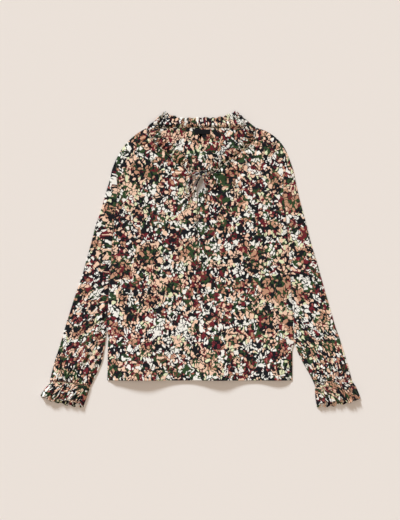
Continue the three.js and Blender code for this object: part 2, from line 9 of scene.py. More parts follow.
# %% Load the measured model
import json
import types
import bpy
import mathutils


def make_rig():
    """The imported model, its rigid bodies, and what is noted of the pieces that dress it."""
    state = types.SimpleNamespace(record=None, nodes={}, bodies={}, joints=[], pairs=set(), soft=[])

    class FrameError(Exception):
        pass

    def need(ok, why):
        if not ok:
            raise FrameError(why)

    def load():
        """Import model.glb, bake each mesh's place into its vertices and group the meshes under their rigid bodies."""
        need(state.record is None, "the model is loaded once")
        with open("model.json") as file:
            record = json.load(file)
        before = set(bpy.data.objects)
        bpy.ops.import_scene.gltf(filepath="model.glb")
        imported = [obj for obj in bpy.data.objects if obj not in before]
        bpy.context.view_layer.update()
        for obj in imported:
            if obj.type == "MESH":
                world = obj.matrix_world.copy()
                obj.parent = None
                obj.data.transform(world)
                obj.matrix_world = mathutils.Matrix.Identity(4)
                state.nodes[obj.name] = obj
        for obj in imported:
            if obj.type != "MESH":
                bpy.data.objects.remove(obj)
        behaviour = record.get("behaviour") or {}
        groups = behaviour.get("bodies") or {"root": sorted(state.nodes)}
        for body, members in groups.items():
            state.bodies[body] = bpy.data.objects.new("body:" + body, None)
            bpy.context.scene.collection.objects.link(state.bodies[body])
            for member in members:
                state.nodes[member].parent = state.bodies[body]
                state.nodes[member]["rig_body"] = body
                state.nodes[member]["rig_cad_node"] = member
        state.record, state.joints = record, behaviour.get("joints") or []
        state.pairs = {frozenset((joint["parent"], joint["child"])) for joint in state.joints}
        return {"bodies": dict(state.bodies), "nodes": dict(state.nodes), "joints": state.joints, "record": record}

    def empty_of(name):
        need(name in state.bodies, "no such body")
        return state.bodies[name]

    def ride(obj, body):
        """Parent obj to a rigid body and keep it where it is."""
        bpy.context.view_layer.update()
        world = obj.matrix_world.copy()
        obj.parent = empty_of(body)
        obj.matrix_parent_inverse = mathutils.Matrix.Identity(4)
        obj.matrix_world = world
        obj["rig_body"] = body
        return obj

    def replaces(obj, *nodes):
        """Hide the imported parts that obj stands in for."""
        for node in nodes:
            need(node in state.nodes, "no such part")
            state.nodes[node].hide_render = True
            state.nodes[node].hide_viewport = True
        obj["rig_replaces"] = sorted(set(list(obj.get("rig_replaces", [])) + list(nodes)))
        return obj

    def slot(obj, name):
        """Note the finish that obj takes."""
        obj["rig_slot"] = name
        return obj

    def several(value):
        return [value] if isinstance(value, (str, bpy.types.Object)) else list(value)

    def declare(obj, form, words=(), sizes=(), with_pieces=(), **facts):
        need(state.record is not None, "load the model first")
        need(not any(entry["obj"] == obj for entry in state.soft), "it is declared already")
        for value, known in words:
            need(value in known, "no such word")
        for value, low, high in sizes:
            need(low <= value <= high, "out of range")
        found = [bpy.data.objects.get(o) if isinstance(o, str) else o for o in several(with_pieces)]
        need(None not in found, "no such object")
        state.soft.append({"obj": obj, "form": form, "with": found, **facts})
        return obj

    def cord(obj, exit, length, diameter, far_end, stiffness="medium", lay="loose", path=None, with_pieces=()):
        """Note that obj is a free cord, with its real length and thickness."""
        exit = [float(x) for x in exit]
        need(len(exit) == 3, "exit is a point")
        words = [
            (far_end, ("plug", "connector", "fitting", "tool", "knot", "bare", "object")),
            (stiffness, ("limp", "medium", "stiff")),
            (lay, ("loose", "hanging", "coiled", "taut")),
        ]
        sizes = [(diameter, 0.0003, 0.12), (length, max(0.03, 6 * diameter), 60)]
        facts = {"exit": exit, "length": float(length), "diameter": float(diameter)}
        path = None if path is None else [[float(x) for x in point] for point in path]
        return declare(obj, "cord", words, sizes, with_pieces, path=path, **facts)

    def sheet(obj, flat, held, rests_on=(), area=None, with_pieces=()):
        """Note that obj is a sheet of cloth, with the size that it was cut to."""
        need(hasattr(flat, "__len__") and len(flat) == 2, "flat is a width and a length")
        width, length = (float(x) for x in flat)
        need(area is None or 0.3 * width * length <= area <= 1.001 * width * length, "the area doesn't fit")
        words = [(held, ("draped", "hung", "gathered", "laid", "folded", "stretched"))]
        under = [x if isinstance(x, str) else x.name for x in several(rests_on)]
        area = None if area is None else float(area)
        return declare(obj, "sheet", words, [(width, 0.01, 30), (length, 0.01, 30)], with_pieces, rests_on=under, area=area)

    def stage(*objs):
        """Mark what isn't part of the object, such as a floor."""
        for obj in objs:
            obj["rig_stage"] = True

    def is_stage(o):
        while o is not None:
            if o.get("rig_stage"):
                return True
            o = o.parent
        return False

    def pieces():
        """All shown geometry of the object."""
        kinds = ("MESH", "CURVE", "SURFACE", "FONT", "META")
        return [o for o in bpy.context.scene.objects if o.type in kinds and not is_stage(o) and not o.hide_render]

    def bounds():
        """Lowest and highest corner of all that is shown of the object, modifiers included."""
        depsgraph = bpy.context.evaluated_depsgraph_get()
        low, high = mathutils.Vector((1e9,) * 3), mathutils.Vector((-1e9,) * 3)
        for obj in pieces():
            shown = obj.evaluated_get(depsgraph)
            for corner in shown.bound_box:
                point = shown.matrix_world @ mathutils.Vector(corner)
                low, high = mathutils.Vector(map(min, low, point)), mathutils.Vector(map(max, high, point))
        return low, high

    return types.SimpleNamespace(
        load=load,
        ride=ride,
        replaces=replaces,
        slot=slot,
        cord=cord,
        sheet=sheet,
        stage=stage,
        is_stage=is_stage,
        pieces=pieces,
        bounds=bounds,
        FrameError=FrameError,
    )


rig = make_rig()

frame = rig.load()
cad_box = [list(corner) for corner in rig.bounds()]
print(len(frame["nodes"]), "nodes,", cad_box)

# %% [markdown]
# ## Working in millimetres
# A maker writes a blouse's sizes in millimetres, and Blender works in metres. The tables below
# stay in millimetres, and one helper turns them into metres when a mesh is made. +X is to the
# right in the photograph, +Y goes from the hem to the collar, and Z is the height.

# %% Units and small helpers
import math

import bmesh
import bpy
import numpy as np
from mathutils import Matrix, Vector

MM = 0.001


def in_scene(name, data):
    """A new object in the scene."""
    made = bpy.data.objects.new(name, data)
    bpy.context.scene.collection.objects.link(made)
    return made


def smooth(t):
    """0 before t is 0, 1 after t is 1, and an even bend between."""
    t = np.clip(t, 0, 1)
    return t * t * (3 - 2 * t)


def bell(t):
    """1 at t = 0, and fading on both sides."""
    return np.exp(-t * t)


def refined(table, at):
    """The rows of a table at row numbers that may lie between two of its rows."""
    table = np.asarray(table, float)
    last = len(table) - 1
    i = np.clip(np.floor(at).astype(int), 0, last - 1)
    t = (at - i)[..., None]
    p0, p1, p2, p3 = (table[np.clip(i + k, 0, last)] for k in (-1, 0, 1, 2))
    bend = 2 * p0 - 5 * p1 + 4 * p2 - p3 + t * (3 * (p1 - p2) + p3 - p0)
    return p1 + 0.5 * t * (p2 - p0 + t * bend)


def run_of(line):
    """How far along a line each of its points is."""
    steps = np.linalg.norm(np.diff(line, axis=0), axis=1)
    return np.concatenate([[0], np.cumsum(steps)])


def at_run(line, run, at):
    """The points that lie so far along a line."""
    return np.stack([np.interp(at, run, column) for column in line.T], axis=-1)


def unit(vectors):
    return vectors / np.linalg.norm(vectors, axis=1)[:, None]


print("smooth(0.5) =", float(smooth(0.5)))

# %% [markdown]
# ## Camera
# The photograph looks straight down on the blouse, and its frame takes in 1000 by 1300 mm of
# the floor. A camera far above with a long lens shows flat things without stretching the edges.
# Its lens follows from the height and from the long side of that frame.

# %% Camera
FRAME_LONG = 1.300              # metres of floor along the long side of the picture
FRAME_CENTRE = (-0.00125, 0.00125)
CAMERA_HEIGHT = 4.0
LAYER_HEIGHT = 0.006            # the height at which the frame has that size

camera_data = bpy.data.cameras.new("camera")
camera_data.lens = camera_data.sensor_width * (CAMERA_HEIGHT - LAYER_HEIGHT) / FRAME_LONG
camera = in_scene("camera", camera_data)
camera.location = (*FRAME_CENTRE, CAMERA_HEIGHT)
bpy.context.scene.camera = camera
print("lens", round(camera_data.lens, 1), "mm")

# %% [markdown]
# ## Measures of the pieces
# These are the sizes that the pieces were modelled to: outlines as rows of points, from which
# every shell below is worked out. A row of the front runs from the centre to the side seam or
# the armhole, and the bow of a row lifts its middle towards the collar.

# %% Layers of cloth
WALL = 1.0                      # the modelled wall; its middle is the middle of the cloth
CLOTH = 0.45                    # the real cloth is thinner
SEAM_GAP = 0.6
UNDER_FRONT = 3.4
OVER_BACK = 1.3
OVER_YOKE = 2.7
SEAM_ROLL = 16

# %% Outline of the front and of the back
HEM_Y = -300
SLIT_X = -7
SLIT_HALF = 0.4
ARMHOLE_ROW = 6
ARMHOLE_START = 1.5
FRONT_RIGHT = [
    # centre x, y, side x, y, bow
    (SLIT_X, HEM_Y, 229.5, HEM_Y, 0), (SLIT_X, -235, 229.5, -235, 0),
    (SLIT_X, -165, 228.5, -165, 0), (SLIT_X, -100, 226, -98, 0), (SLIT_X, -39, 222.5, -38, 0),
    (SLIT_X + SLIT_HALF, 30, 219.5, 10, 0), (SLIT_X + SLIT_HALF, 104, 218.5, 52, 0),
    (-5, 166, 214, 108, 0), (8, 181, 209, 150, 0), (14, 194, 207, 176, 0),
    (14, 210, 208, 197, 1), (37, 221, 210.5, 216, 3), (91, 262, 216, 238, 7),
    (134, 301, 219, 249, 10), (139.5, 332, 221, 258, 15),
]
FRONT_LEFT = [
    (SLIT_X, HEM_Y, -233, HEM_Y, 0), (SLIT_X, -235, -232, -235, 0),
    (SLIT_X, -165, -230, -165, 0), (SLIT_X, -100, -226.5, -98, 0),
    (SLIT_X, -39, -222.5, -38, 0), (SLIT_X - SLIT_HALF, 30, -220.5, 10, 0),
    (SLIT_X - SLIT_HALF, 104, -219.5, 52, 0), (-9, 166, -214.5, 108, 0),
    (-17, 181, -209.5, 150, 0), (-21, 193, -208, 176, 0), (-21, 209, -208.5, 197, 1),
    (-39, 225, -210.5, 214, 3), (-89, 270, -211, 233, 5), (-127, 305, -210.5, 246, 7),
    (-136, 331, -209, 257, 9),
]
BACK_INSET = 2
BACK_INNER = [
    # share of half the neck's width, y
    (0, HEM_Y), (0, -235), (0, -165), (0, -100), (0, -39), (0, 30), (0, 104), (0, 160),
    (0, 210), (0, 255), (0, 295), (0, 330), (0.33, 330), (0.68, 330), (1, 331),
]
YOKE_Z = 1.3
YOKE_ROWS = [
    (0, 226, 192, 226, 0), (0, 262, 195, 236, 3), (0, 298, 197, 243, 6),
    (0, 330.7, 198, 247, 8), (70, 330.7, 199, 249, 9), (124, 328, 200, 252, 11),
]
HEM_WAVES = [
    # centre x, half width, height, run up the front
    (-150, 62, 12, 120), (44, 46, 11, 105), (188, 30, 6, 95),
]
FRONT_FOLDS = [
    # from x, y, to x, y, half width, height
    (150, 275, 160, 180, 11, -0.5), (36, 205, 120, 252, 9, 0.9), (-52, 222, -128, 262, 10, 0.8),
    (-160, 200, -120, 60, 16, 1.1), (-95, 120, -110, -60, 15, -0.9),
    (70, 110, 92, -90, 15, 1.1), (168, 90, 140, -80, 15, -0.9), (205, 40, 120, -30, 12, 1.0),
    (-206, 40, -140, -20, 12, 1.0), (-64, -170, -68, -298, 13, -1.0),
    (136, -160, 137, -298, 12, -1.0),
]

# %% Outline of the sleeves and cuffs
SLEEVE_RIGHT = [
    # inner x, y, outer x, y, from the armhole to the elastic
    (220.4, 43, 231.5, 230), (220.7, 36, 238, 200), (221.2, 26, 245.5, 165),
    (221.8, 14, 255.5, 126), (222.6, 0, 264, 96), (223.6, -16, 271, 66),
    (224.8, -34, 279, 36), (226.2, -56, 289.5, 3), (227.8, -80, 300, -35),
    (229.4, -106, 310, -70), (230.8, -134, 319, -101), (231.8, -162, 328, -132),
    (233.2, -190, 337, -163), (238.5, -217, 348, -194), (249, -242, 357, -223),
    (262, -266, 366, -252), (274, -287, 372.5, -275), (283, -306, 377, -292),
]
SLEEVE_LEFT = [
    (-221.7, 43, -220.5, 230), (-222, 36, -227.5, 200), (-222.4, 26, -238.5, 165),
    (-222.9, 14, -249, 126), (-223.5, 0, -260, 96), (-224.4, -16, -268, 66),
    (-225.6, -34, -276, 36), (-227.2, -56, -285, 4), (-229.2, -80, -295, -33),
    (-231.2, -106, -307, -68), (-233.2, -134, -318, -100), (-234.6, -162, -328, -132),
    (-236.5, -192, -338, -164), (-241, -222, -347, -196), (-246, -250, -357, -227),
    (-255.5, -274, -366, -256), (-265, -294, -372.5, -281), (-273.5, -311, -377, -299),
]
FOLD_HEIGHT = 2.6               # between the middles of the two layers at a folded edge
LEAST_SINE = 0.12
ARMHOLE_ROWS = 7
SLEEVE_EDGE = 0.12
SLEEVE_BELLY = 0.9
CUFF_BELLY = 5.2
FULL_FROM = 0.72
CUFF_RIGHT = [
    # inner x, y, outer x, y, bow, gather height
    (283.3, -306.7, 377.3, -292.7, 0, 0.7),
    (286.5, -315, 379, -300.5, 0, 0.7),
    (286.5, -337, 390, -317, -3, 1.5),
    (291, -367, 401, -344, -6, 2.5),
]
CUFF_LEFT = [
    (-273.8, -311.7, -377.2, -299.7, 0, 0.7),
    (-277, -320, -377.5, -307, 0, 0.7),
    (-284, -341, -389, -320, -3, 1.5),
    (-293, -367, -401, -338, -6, 2.5),
]
FRILL_RISE = 2
FRILL_UNDER_SHOWS = 11

# %% Lines across the collar
COLLAR_LINES = [
    # seam x, y, z, half way x, y, z, edge x, y, z
    (-20.5, 210, 3.9, -19.5, 219, 7.2, -18.5, 229, 10),
    (-38.5, 225.6, 3.9, -33, 235, 7.2, -27.5, 245, 10.4),
    (-66, 250, 3.9, -59, 260, 7.4, -50, 270.5, 10.8),
    (-88.5, 270.6, 3.9, -80, 280, 7.6, -69.5, 290, 11),
    (-110, 290, 3.9, -100.5, 298, 7.8, -88, 305.5, 11),
    (-125.8, 305.5, 3.8, -114.5, 311, 7.8, -101, 316, 11),
    (-130.4, 319, 3.2, -119, 324, 7.4, -106, 328.5, 10.8),
    (-134.4, 331.8, 1.7, -123.5, 338.6, 6.3, -107, 344, 10.4),
    (-129, 331.6, 1.1, -119.5, 343.8, 4.6, -102, 355.5, 9.2),
    (-117, 331.2, 1.1, -108, 352, 3.6, -95.5, 364.5, 6.6),
    (-102, 330.8, 1.1, -96, 350.5, 2.6, -89, 372.5, 3.6),
    (-84, 330.6, 1.1, -79, 347, 2.4, -72, 363.5, 3.2),
    (-57, 330.6, 1.1, -53, 344, 2.4, -49, 357, 3.2),
    (-26, 330.6, 1.1, -24, 344, 2.4, -22, 357, 3.2),
    (4, 330.6, 1.1, 4, 344, 2.4, 4, 358, 3.2),
    (34, 330.6, 1.1, 32, 344, 2.4, 30, 357, 3.2),
    (62, 330.6, 1.1, 57.5, 345, 2.4, 53, 360, 3.2),
    (88, 330.6, 1.1, 82, 348, 2.4, 74, 367, 3.2),
    (105, 330.8, 1.1, 98, 351, 2.6, 89, 373.5, 3.6),
    (119.5, 331.2, 1.1, 110, 351, 3.6, 96.5, 365.5, 6.6),
    (132, 331.6, 1.1, 121.5, 344.5, 4.6, 105, 357, 9.2),
    (137.4, 333, 1.7, 125.5, 338.6, 6.3, 110.5, 345, 10.4),
    (135.8, 317, 3.2, 124.5, 321, 7.4, 112, 326, 10.8),
    (132.9, 301.6, 3.8, 122, 306, 7.8, 111, 311, 11),
    (114, 284, 3.9, 106, 291.5, 7.8, 96.5, 299, 11),
    (90.4, 262.6, 3.9, 82.5, 271.5, 7.6, 74, 281, 11),
    (63, 241, 3.9, 55, 252, 7.4, 46, 263.5, 10.8),
    (36.6, 221.6, 3.9, 32, 233, 7.2, 27, 245, 10.4),
    (14.6, 211.2, 3.9, 17, 221.5, 7.2, 19.5, 232, 10),
]
BINDING_WIDTH = 4.5
COLLAR_GATHERS = 56
COLLAR_GATHER_HEIGHT = 1.7
COLLAR_FULLNESS = 1.4           # what the modelled gathers nearly hold; a real one takes more
STANDS_AT_BACK, STANDS_AT_FRONT = 4.6, 2.6      # how much higher it bulges beside its seam

# %% The bow
TIE = 3.8
KNOT = (4, 218.2, 8.3)
KNOT_SIZE = (7, 6, 3.6)
TIES = {
    "tie_strand_left": [(-19.1, 212.1, 5.5), (-10.5, 214.9, 6.5), (-3, 217.3, 7.5)],
    "tie_loop_left": [
        (-2.9, 222.1, 9.2), (-12, 222, 11.4), (-25, 210, 11.8), (-37, 190, 10.6),
        (-39, 172, 7.6), (-31, 165.5, 6.6), (-25, 178, 6.6), (-17, 196, 6.6),
        (-2.9, 213.1, 7.3)],
    "tie_loop_right": [
        (10.9, 221.9, 9.3), (20, 221.6, 11.2), (34, 208, 11.4), (41, 191, 9.6),
        (36, 179.5, 6.6), (28, 184, 6.6), (21.5, 197, 6.8), (10.2, 214.3, 8)],
    "tie_end_left": [
        (1.2, 212.3, 6.9), (-7.5, 195, 6.7), (-18.5, 172, 6.6), (-29, 151, 6.6),
        (-36, 134, 6.6)],
    "tie_end_right": [(5.6, 212.1, 7.2), (12, 192, 6.7), (14, 168, 6.6), (9, 145, 6.6)],
}
LABEL = (40, 12, 0.8)
LABEL_PLACE = (4, 322, 3.1)
print("the neck is", round(139.5 + 136), "mm wide")

# %% [markdown]
# ## The print
# The real cloth is printed all over with small dabs of paint-like colour on a dark ground. The
# dabs come in patches of one tone: chalk white, peach, tan, wine and leaf green. This is a new
# print of that kind. Voronoi cells give the dabs, one colour to each cell, and a slow noise
# decides which tones meet where. The cells read the cloth's own coordinates in millimetres, so
# the dabs bunch up where the cloth is gathered. Three layers of them, of different sizes, lie
# over a ground with ragged patches of green and wine.

# %% Node helpers
def new_material(name, roughness):
    """A material with its node tree, its shader, and a function that adds and wires nodes."""
    material = bpy.data.materials.new(name)
    material.use_nodes = True
    nodes, links = material.node_tree.nodes, material.node_tree.links
    shader = nodes["Principled BSDF"]
    shader.inputs["Roughness"].default_value = roughness

    def node(kind, inputs=(), **settings):
        made = nodes.new("ShaderNode" + kind)
        for key, value in settings.items():
            setattr(made, key, value)
        for key, value in dict(inputs).items():
            if isinstance(value, bpy.types.NodeSocket):
                links.new(value, made.inputs[key])
            else:
                made.inputs[key].default_value = value
        return made

    return material, shader, node, links


def srgb(r, g, b):
    """A colour as seen on a screen, 0 to 255, as the linear colour that a shader takes."""
    linear = []
    for value in (r / 255, g / 255, b / 255):
        linear.append(value / 12.92 if value < 0.04045 else ((value + 0.055) / 1.055) ** 2.4)
    return (*linear, 1)


# %% Tones of the print
NIGHT = srgb(22, 23, 27)
LEAF = srgb(50, 72, 42)
WINE = srgb(112, 36, 44)
CHALK = srgb(243, 238, 228)
PEACH = srgb(242, 202, 174)
CREAM = srgb(226, 228, 186)
TAN = srgb(196, 146, 118)
ROSE = srgb(172, 96, 88)
SHOWS_THROUGH = srgb(206, 198, 192)     # what the print fades towards on the wrong side
WRONG_SIDE_PALENESS = 0.66

# %% Layers of the print
PRINT_TURN = 0.6                # radians, so that no row of dabs runs along a seam
PRINT_SCALE = (1070, 930, 1000)     # millimetres, and dabs a little longer than they are wide
WARPS = ((0.07, 15.0), (0.22, 2.4))     # how quick the noise is, and how far it pushes a dab
GROUND_PATCHES = (
    # noise scale, start, seed, tone
    (0.045, 0.53, 40, LEAF),
    (0.05, 0.57, 170, WINE),
)
DAB_LAYERS = (
    # cell, seed, gap from and to, share kept and what a crowd adds, tones by where they start
    (5.0, 71, (0.25, 1.0), (-0.06, 0.9),
     ((0, LEAF), (0.35, TAN), (0.41, PEACH), (0.5, CHALK), (0.58, ROSE), (0.62, WINE),
      (0.69, CHALK))),
    (12.0, 37, (0.8, 2.4), (-0.3, 0.95),
     ((0, TAN), (0.36, CREAM), (0.4, PEACH), (0.51, CHALK), (0.6, WINE), (0.66, PEACH))),
    (7.5, 13, (0.25, 1.2), (-0.27, 1.4),
     ((0, TAN), (0.37, PEACH), (0.46, CREAM), (0.49, CHALK), (0.6, TAN), (0.64, PEACH),
      (0.72, CHALK))),
)
PATCH_SCALE, CROWD_SCALE = 0.023, 0.045


# %% The dabs
def number(node, operation, *values, clamp=False):
    """A sum, product or comparison of numbers and sockets."""
    made = node("Math", dict(enumerate(values)), operation=operation, use_clamp=clamp)
    return made.outputs[0]


def vector(node, operation, *values):
    """The same with vectors."""
    return node("VectorMath", dict(enumerate(values)), operation=operation).outputs[0]


def noise(node, place, scale, detail=1.0, roughness=0.5, moved=0.0):
    """Slow or quick noise on the cloth's own coordinates."""
    shifted = vector(node, "ADD", place, (moved, -moved, 0.5 / scale))
    return node("TexNoise", {"Vector": shifted, "Scale": scale, "Detail": detail,
                                       "Roughness": roughness}).outputs


def dab_layer(node, place, cell, tones, seed, gap, share):
    """Dabs of one size: a mask, and a tone that each dab takes from the patch it lies in.
    Each dab fills a Voronoi cell but for its corners and a gap of so many millimetres."""
    shift = (seed, seed * 1.7, 0)
    moved = vector(node, "ADD", place, shift)
    settings = {"Vector": moved, "Scale": 1 / cell, "Randomness": 1.0}
    cells = node("TexVoronoi", settings, voronoi_dimensions="2D", feature="F1")
    edges = node("TexVoronoi", settings, voronoi_dimensions="2D",
                 feature="DISTANCE_TO_EDGE")
    chance = node("SeparateColor", {0: cells.outputs["Color"]}).outputs
    at_cell = vector(node, "SUBTRACT", cells.outputs["Position"], shift)

    patch = noise(node, at_cell, PATCH_SCALE, 0.6, 0.5)[0]
    chosen = number(node, "MULTIPLY_ADD", chance[0], 0.03, patch)
    ramp = node("ValToRGB", {0: chosen})
    ramp.color_ramp.interpolation = "CONSTANT"
    while len(ramp.color_ramp.elements) < len(tones):
        ramp.color_ramp.elements.new(0.5)
    for element, (start, tone) in zip(ramp.color_ramp.elements, tones):
        element.position = start
        element.color = tone

    width = number(node, "MULTIPLY_ADD", chance[1], gap[1] - gap[0], gap[0])
    inside = number(node, "SUBTRACT", number(node, "MULTIPLY", edges.outputs[0], cell), width)
    rounded = number(node, "MULTIPLY_ADD", cells.outputs["Distance"], -cell, 0.54 * cell)
    inside = number(node, "MINIMUM", inside, rounded)
    filled = number(node, "MULTIPLY", inside, 3.5, clamp=True)
    crowd = noise(node, at_cell, CROWD_SCALE, 1.0, 0.5, 300 + seed)[0]
    most = number(node, "MULTIPLY_ADD", crowd, share[1], share[0])
    kept = number(node, "LESS_THAN", chance[2], most)
    return number(node, "MULTIPLY", filled, kept), ramp.outputs[0]


def ground_patch(node, place, scale, start, seed):
    """A mask of ragged patches."""
    over = number(node, "SUBTRACT", noise(node, place, scale, 3.0, 0.65, seed)[0], start)
    return number(node, "MULTIPLY", over, 30.0, clamp=True)


def mixed(node, share, below, above):
    made = node("Mix", {0: share, 6: below, 7: above}, data_type="RGBA")
    return made.outputs[2]


def printed_cloth(name, paleness, roughness=0.78):
    """The print on its right side, or paler, as it shows through on the wrong side."""
    material, shader, node, links = new_material(name, roughness)
    uv = node("UVMap", uv_map="cloth").outputs[0]
    place = node("Mapping", {"Vector": uv, "Rotation": (0, 0, PRINT_TURN),
                                       "Scale": PRINT_SCALE}).outputs[0]
    warped = place
    for size, reach in WARPS:
        warp = noise(node, place, size, 1.0, 0.5, 50)[1]
        centred = vector(node, "SUBTRACT", warp, (0.5, 0.5, 0.5))
        shift = node("VectorMath", {0: centred, 3: reach}, operation="SCALE").outputs[0]
        warped = vector(node, "ADD", warped, shift)

    colour = NIGHT
    for scale, start, seed, tone in GROUND_PATCHES:
        colour = mixed(node, ground_patch(node, warped, scale, start, seed), colour, tone)
    for cell, seed, gap, share, tones in DAB_LAYERS:
        dabs, dab_tone = dab_layer(node, warped, cell, tones, seed, gap, share)
        colour = mixed(node, dabs, colour, dab_tone)
    if paleness:
        colour = mixed(node, paleness, colour, SHOWS_THROUGH)
    links.new(colour, shader.inputs["Base Color"])

    crepe = node("TexNoise", {"Vector": place, "Scale": 1.4, "Detail": 3.0},
                 noise_dimensions="2D")
    bump = node("Bump", {"Strength": 0.25, "Distance": 0.0003,
                                   "Height": crepe.outputs[0]})
    links.new(bump.outputs[0], shader.inputs["Normal"])
    shader.inputs["Specular IOR Level"].default_value = 0.12
    shader.inputs["Sheen Weight"].default_value = 0.02
    shader.inputs["Sheen Roughness"].default_value = 0.5
    return material


right_side = printed_cloth("print_right_side", 0)
wrong_side = printed_cloth("print_wrong_side", WRONG_SIDE_PALENESS)
print("two sides of the cloth:", right_side.name, wrong_side.name)

# %% [markdown]
# ## A sheet of cloth from a grid
# Every panel starts as a flat grid, one square to every few millimetres. A function then says
# where each point of the grid lies and which point of the printed cloth it is. Solidify gives
# the shell its thickness and puts the wrong side on the inner face.

# %% Cloth from a grid
def laid_cloth(bm, across, along, place, turned=False):
    """Adds a grid to bm. place(u, v) gives x, y, z and the cloth's own x, y, in millimetres.
    turned is for a grid that runs from right to left, which would show its wrong side."""
    uv_layer = bm.loops.layers.uv.verify()
    uv_layer_name = uv_layer.name
    made = bmesh.ops.create_grid(bm, x_segments=across, y_segments=along, size=0.5)
    corners = made["verts"]
    u = np.array([corner.co.x + 0.5 for corner in corners])
    v = np.array([corner.co.y + 0.5 for corner in corners])
    x, y, z, cloth_x, cloth_y = place(u, v)
    print_at = {}
    for i, corner in enumerate(corners):
        corner.co = Vector((x[i], y[i], z[i])) * MM
        print_at[corner] = (cloth_x[i] * MM, cloth_y[i] * MM)
    uv_layer = bm.loops.layers.uv[uv_layer_name]
    faces = list({face for corner in corners for face in corner.link_faces})
    for face in faces:
        for loop in face.loops:
            loop[uv_layer].uv = print_at[loop.vert]
        face.smooth = True
    if turned:
        bmesh.ops.reverse_faces(bm, faces=faces)
    return corners


def new_piece(bm, name, materials):
    """Makes a bmesh an object of the blouse."""
    mesh = bpy.data.meshes.new(name)
    bm.to_mesh(mesh)
    bm.free()
    for layer in mesh.uv_layers:
        layer.name = "cloth"
    for material in materials:
        mesh.materials.append(material)
    piece = in_scene(name, mesh)
    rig.ride(piece, "root")
    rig.slot(piece, "printed_cloth")
    return piece


def finished_cloth(bm, name, thickness=CLOTH, cloth=right_side, inner=wrong_side):
    """Welds the seams of a bmesh and makes it a thin shell of cloth."""
    bmesh.ops.remove_doubles(bm, verts=bm.verts, dist=0.02 * MM)
    piece = new_piece(bm, name, (cloth, inner))
    solidify = piece.modifiers.new("thickness", "SOLIDIFY")
    solidify.thickness = thickness * MM
    solidify.offset = 0
    solidify.material_offset = 1
    print(name, len(piece.data.polygons), "faces")
    return piece


def closed_tube(name, around, along, place):
    """A grid that is welded along its length and closed at both ends."""
    bm = bmesh.new()
    laid_cloth(bm, around, along, place)
    bmesh.ops.remove_doubles(bm, verts=bm.verts, dist=0.01 * MM)
    bmesh.ops.holes_fill(bm, edges=[edge for edge in bm.edges if edge.is_boundary], sides=50)
    bmesh.ops.recalc_face_normals(bm, faces=bm.faces)
    return new_piece(bm, name, (right_side,))


# %% [markdown]
# ## Front
# The front lies over the back and hangs from the neck seam. It has a slit down the centre, so
# it is two grids that share their centre points up to the slit's lower end. Its height over the
# floor is a sum of soft ridges and troughs, each along a listed line.

# %% Points of the front
def on_row(row, s):
    """The point at share s of a row that is bowed towards the collar."""
    ax, ay, bx, by, bow = (row[..., k] for k in range(5))
    long = np.hypot(bx - ax, by - ay)
    lift = 4 * s * (1 - s) * bow / long * np.sign(bx - ax)
    return ax + s * (bx - ax) - lift * (by - ay), ay + s * (by - ay) + lift * (bx - ax)


def fold_height(x, y, folds):
    """What soft folds along straight lines add to the height at a place. A fold's row holds
    the x and y of both its ends, its half width and its height."""
    total = np.zeros_like(x)
    for x1, y1, x2, y2, width, height in folds:
        dx, dy = x2 - x1, y2 - y1
        long = math.hypot(dx, dy)
        t = ((x - x1) * dx + (y - y1) * dy) / long ** 2
        off = ((x - x1) * dy - (y - y1) * dx) / long
        total += height * bell(off / width) * smooth(t / 0.3) * smooth((1 - t) / 0.3)
    return total


FRONT_CREASES = [
    (31, 196, 124, 256, 6, 1.6), (26, 202, 116, 279, 4.5, 2.6), (-30, 203, -94, 262, 4.5, 2.2),
    (116, 252, 206, 284, 7, 1.3), (42, 184, 134, 236, 5, -1.3), (154, 290, 155, 170, 8, -1.6),
    (167, 290, 172, 184, 6, 1.4), (181, 290, 184, 212, 5, -1.3), (-40, 205, -186, 258, 6, 1.3),
    (-54, 190, -168, 220, 6, -1.1), (-170, 246, -146, 116, 8, 1.0),
    (-196, 214, -188, 120, 6, -0.9), (-62, 160, -86, 20, 9, 0.8), (52, 150, 66, 10, 8, 0.9),
    (214, 96, 150, 58, 7, 1.1), (206, 70, 158, 30, 5, -0.9), (-214, 106, -158, 62, 7, 1.0),
    (-208, -64, -140, -128, 8, 1.0), (-206, -90, -160, -150, 5, -0.8),
    (212, -52, 152, -126, 7, 1.1), (60, -50, 46, -240, 9, 0.9), (-22, -110, -34, -286, 8, 0.9),
    (141, -206, 128, -288, 5, -1.9), (153, -186, 141, -296, 6, 1.3),
    (112, -214, 104, -298, 6, 0.9), (-84, -250, -48, -288, 5, -1.7),
    (-96, -236, -62, -292, 5, 1.0),
]
HEM_TURN = 12                   # how far the hem is turned up
SLIT_BOTTOM, SLIT_TOP = -39, 180
SLIT_FACING = 6
HEM_RISE, FACING_RISE = 0.4, 0.6    # what a turned edge adds
SLIT_DEPTH = 1.7
SLIT_OPEN = 0.2                 # how far each edge of the slit draws back
NECK_ROW = 9.6                  # the neck seam starts at this row of a table
NECK_GATHERS = 2.9              # gathers to a row
NECK_GATHER_HEIGHT, NECK_GROOVE = 1.5, 1.8
NECK_GATHER_REACH = 27


def beside_slit(x, y, reach):
    """1 at the slit, and fading with the distance from it and at its ends."""
    ends = smooth((y - SLIT_BOTTOM) / 14) * smooth((SLIT_TOP - y) / 10)
    return bell((x - SLIT_X) / reach) * ends


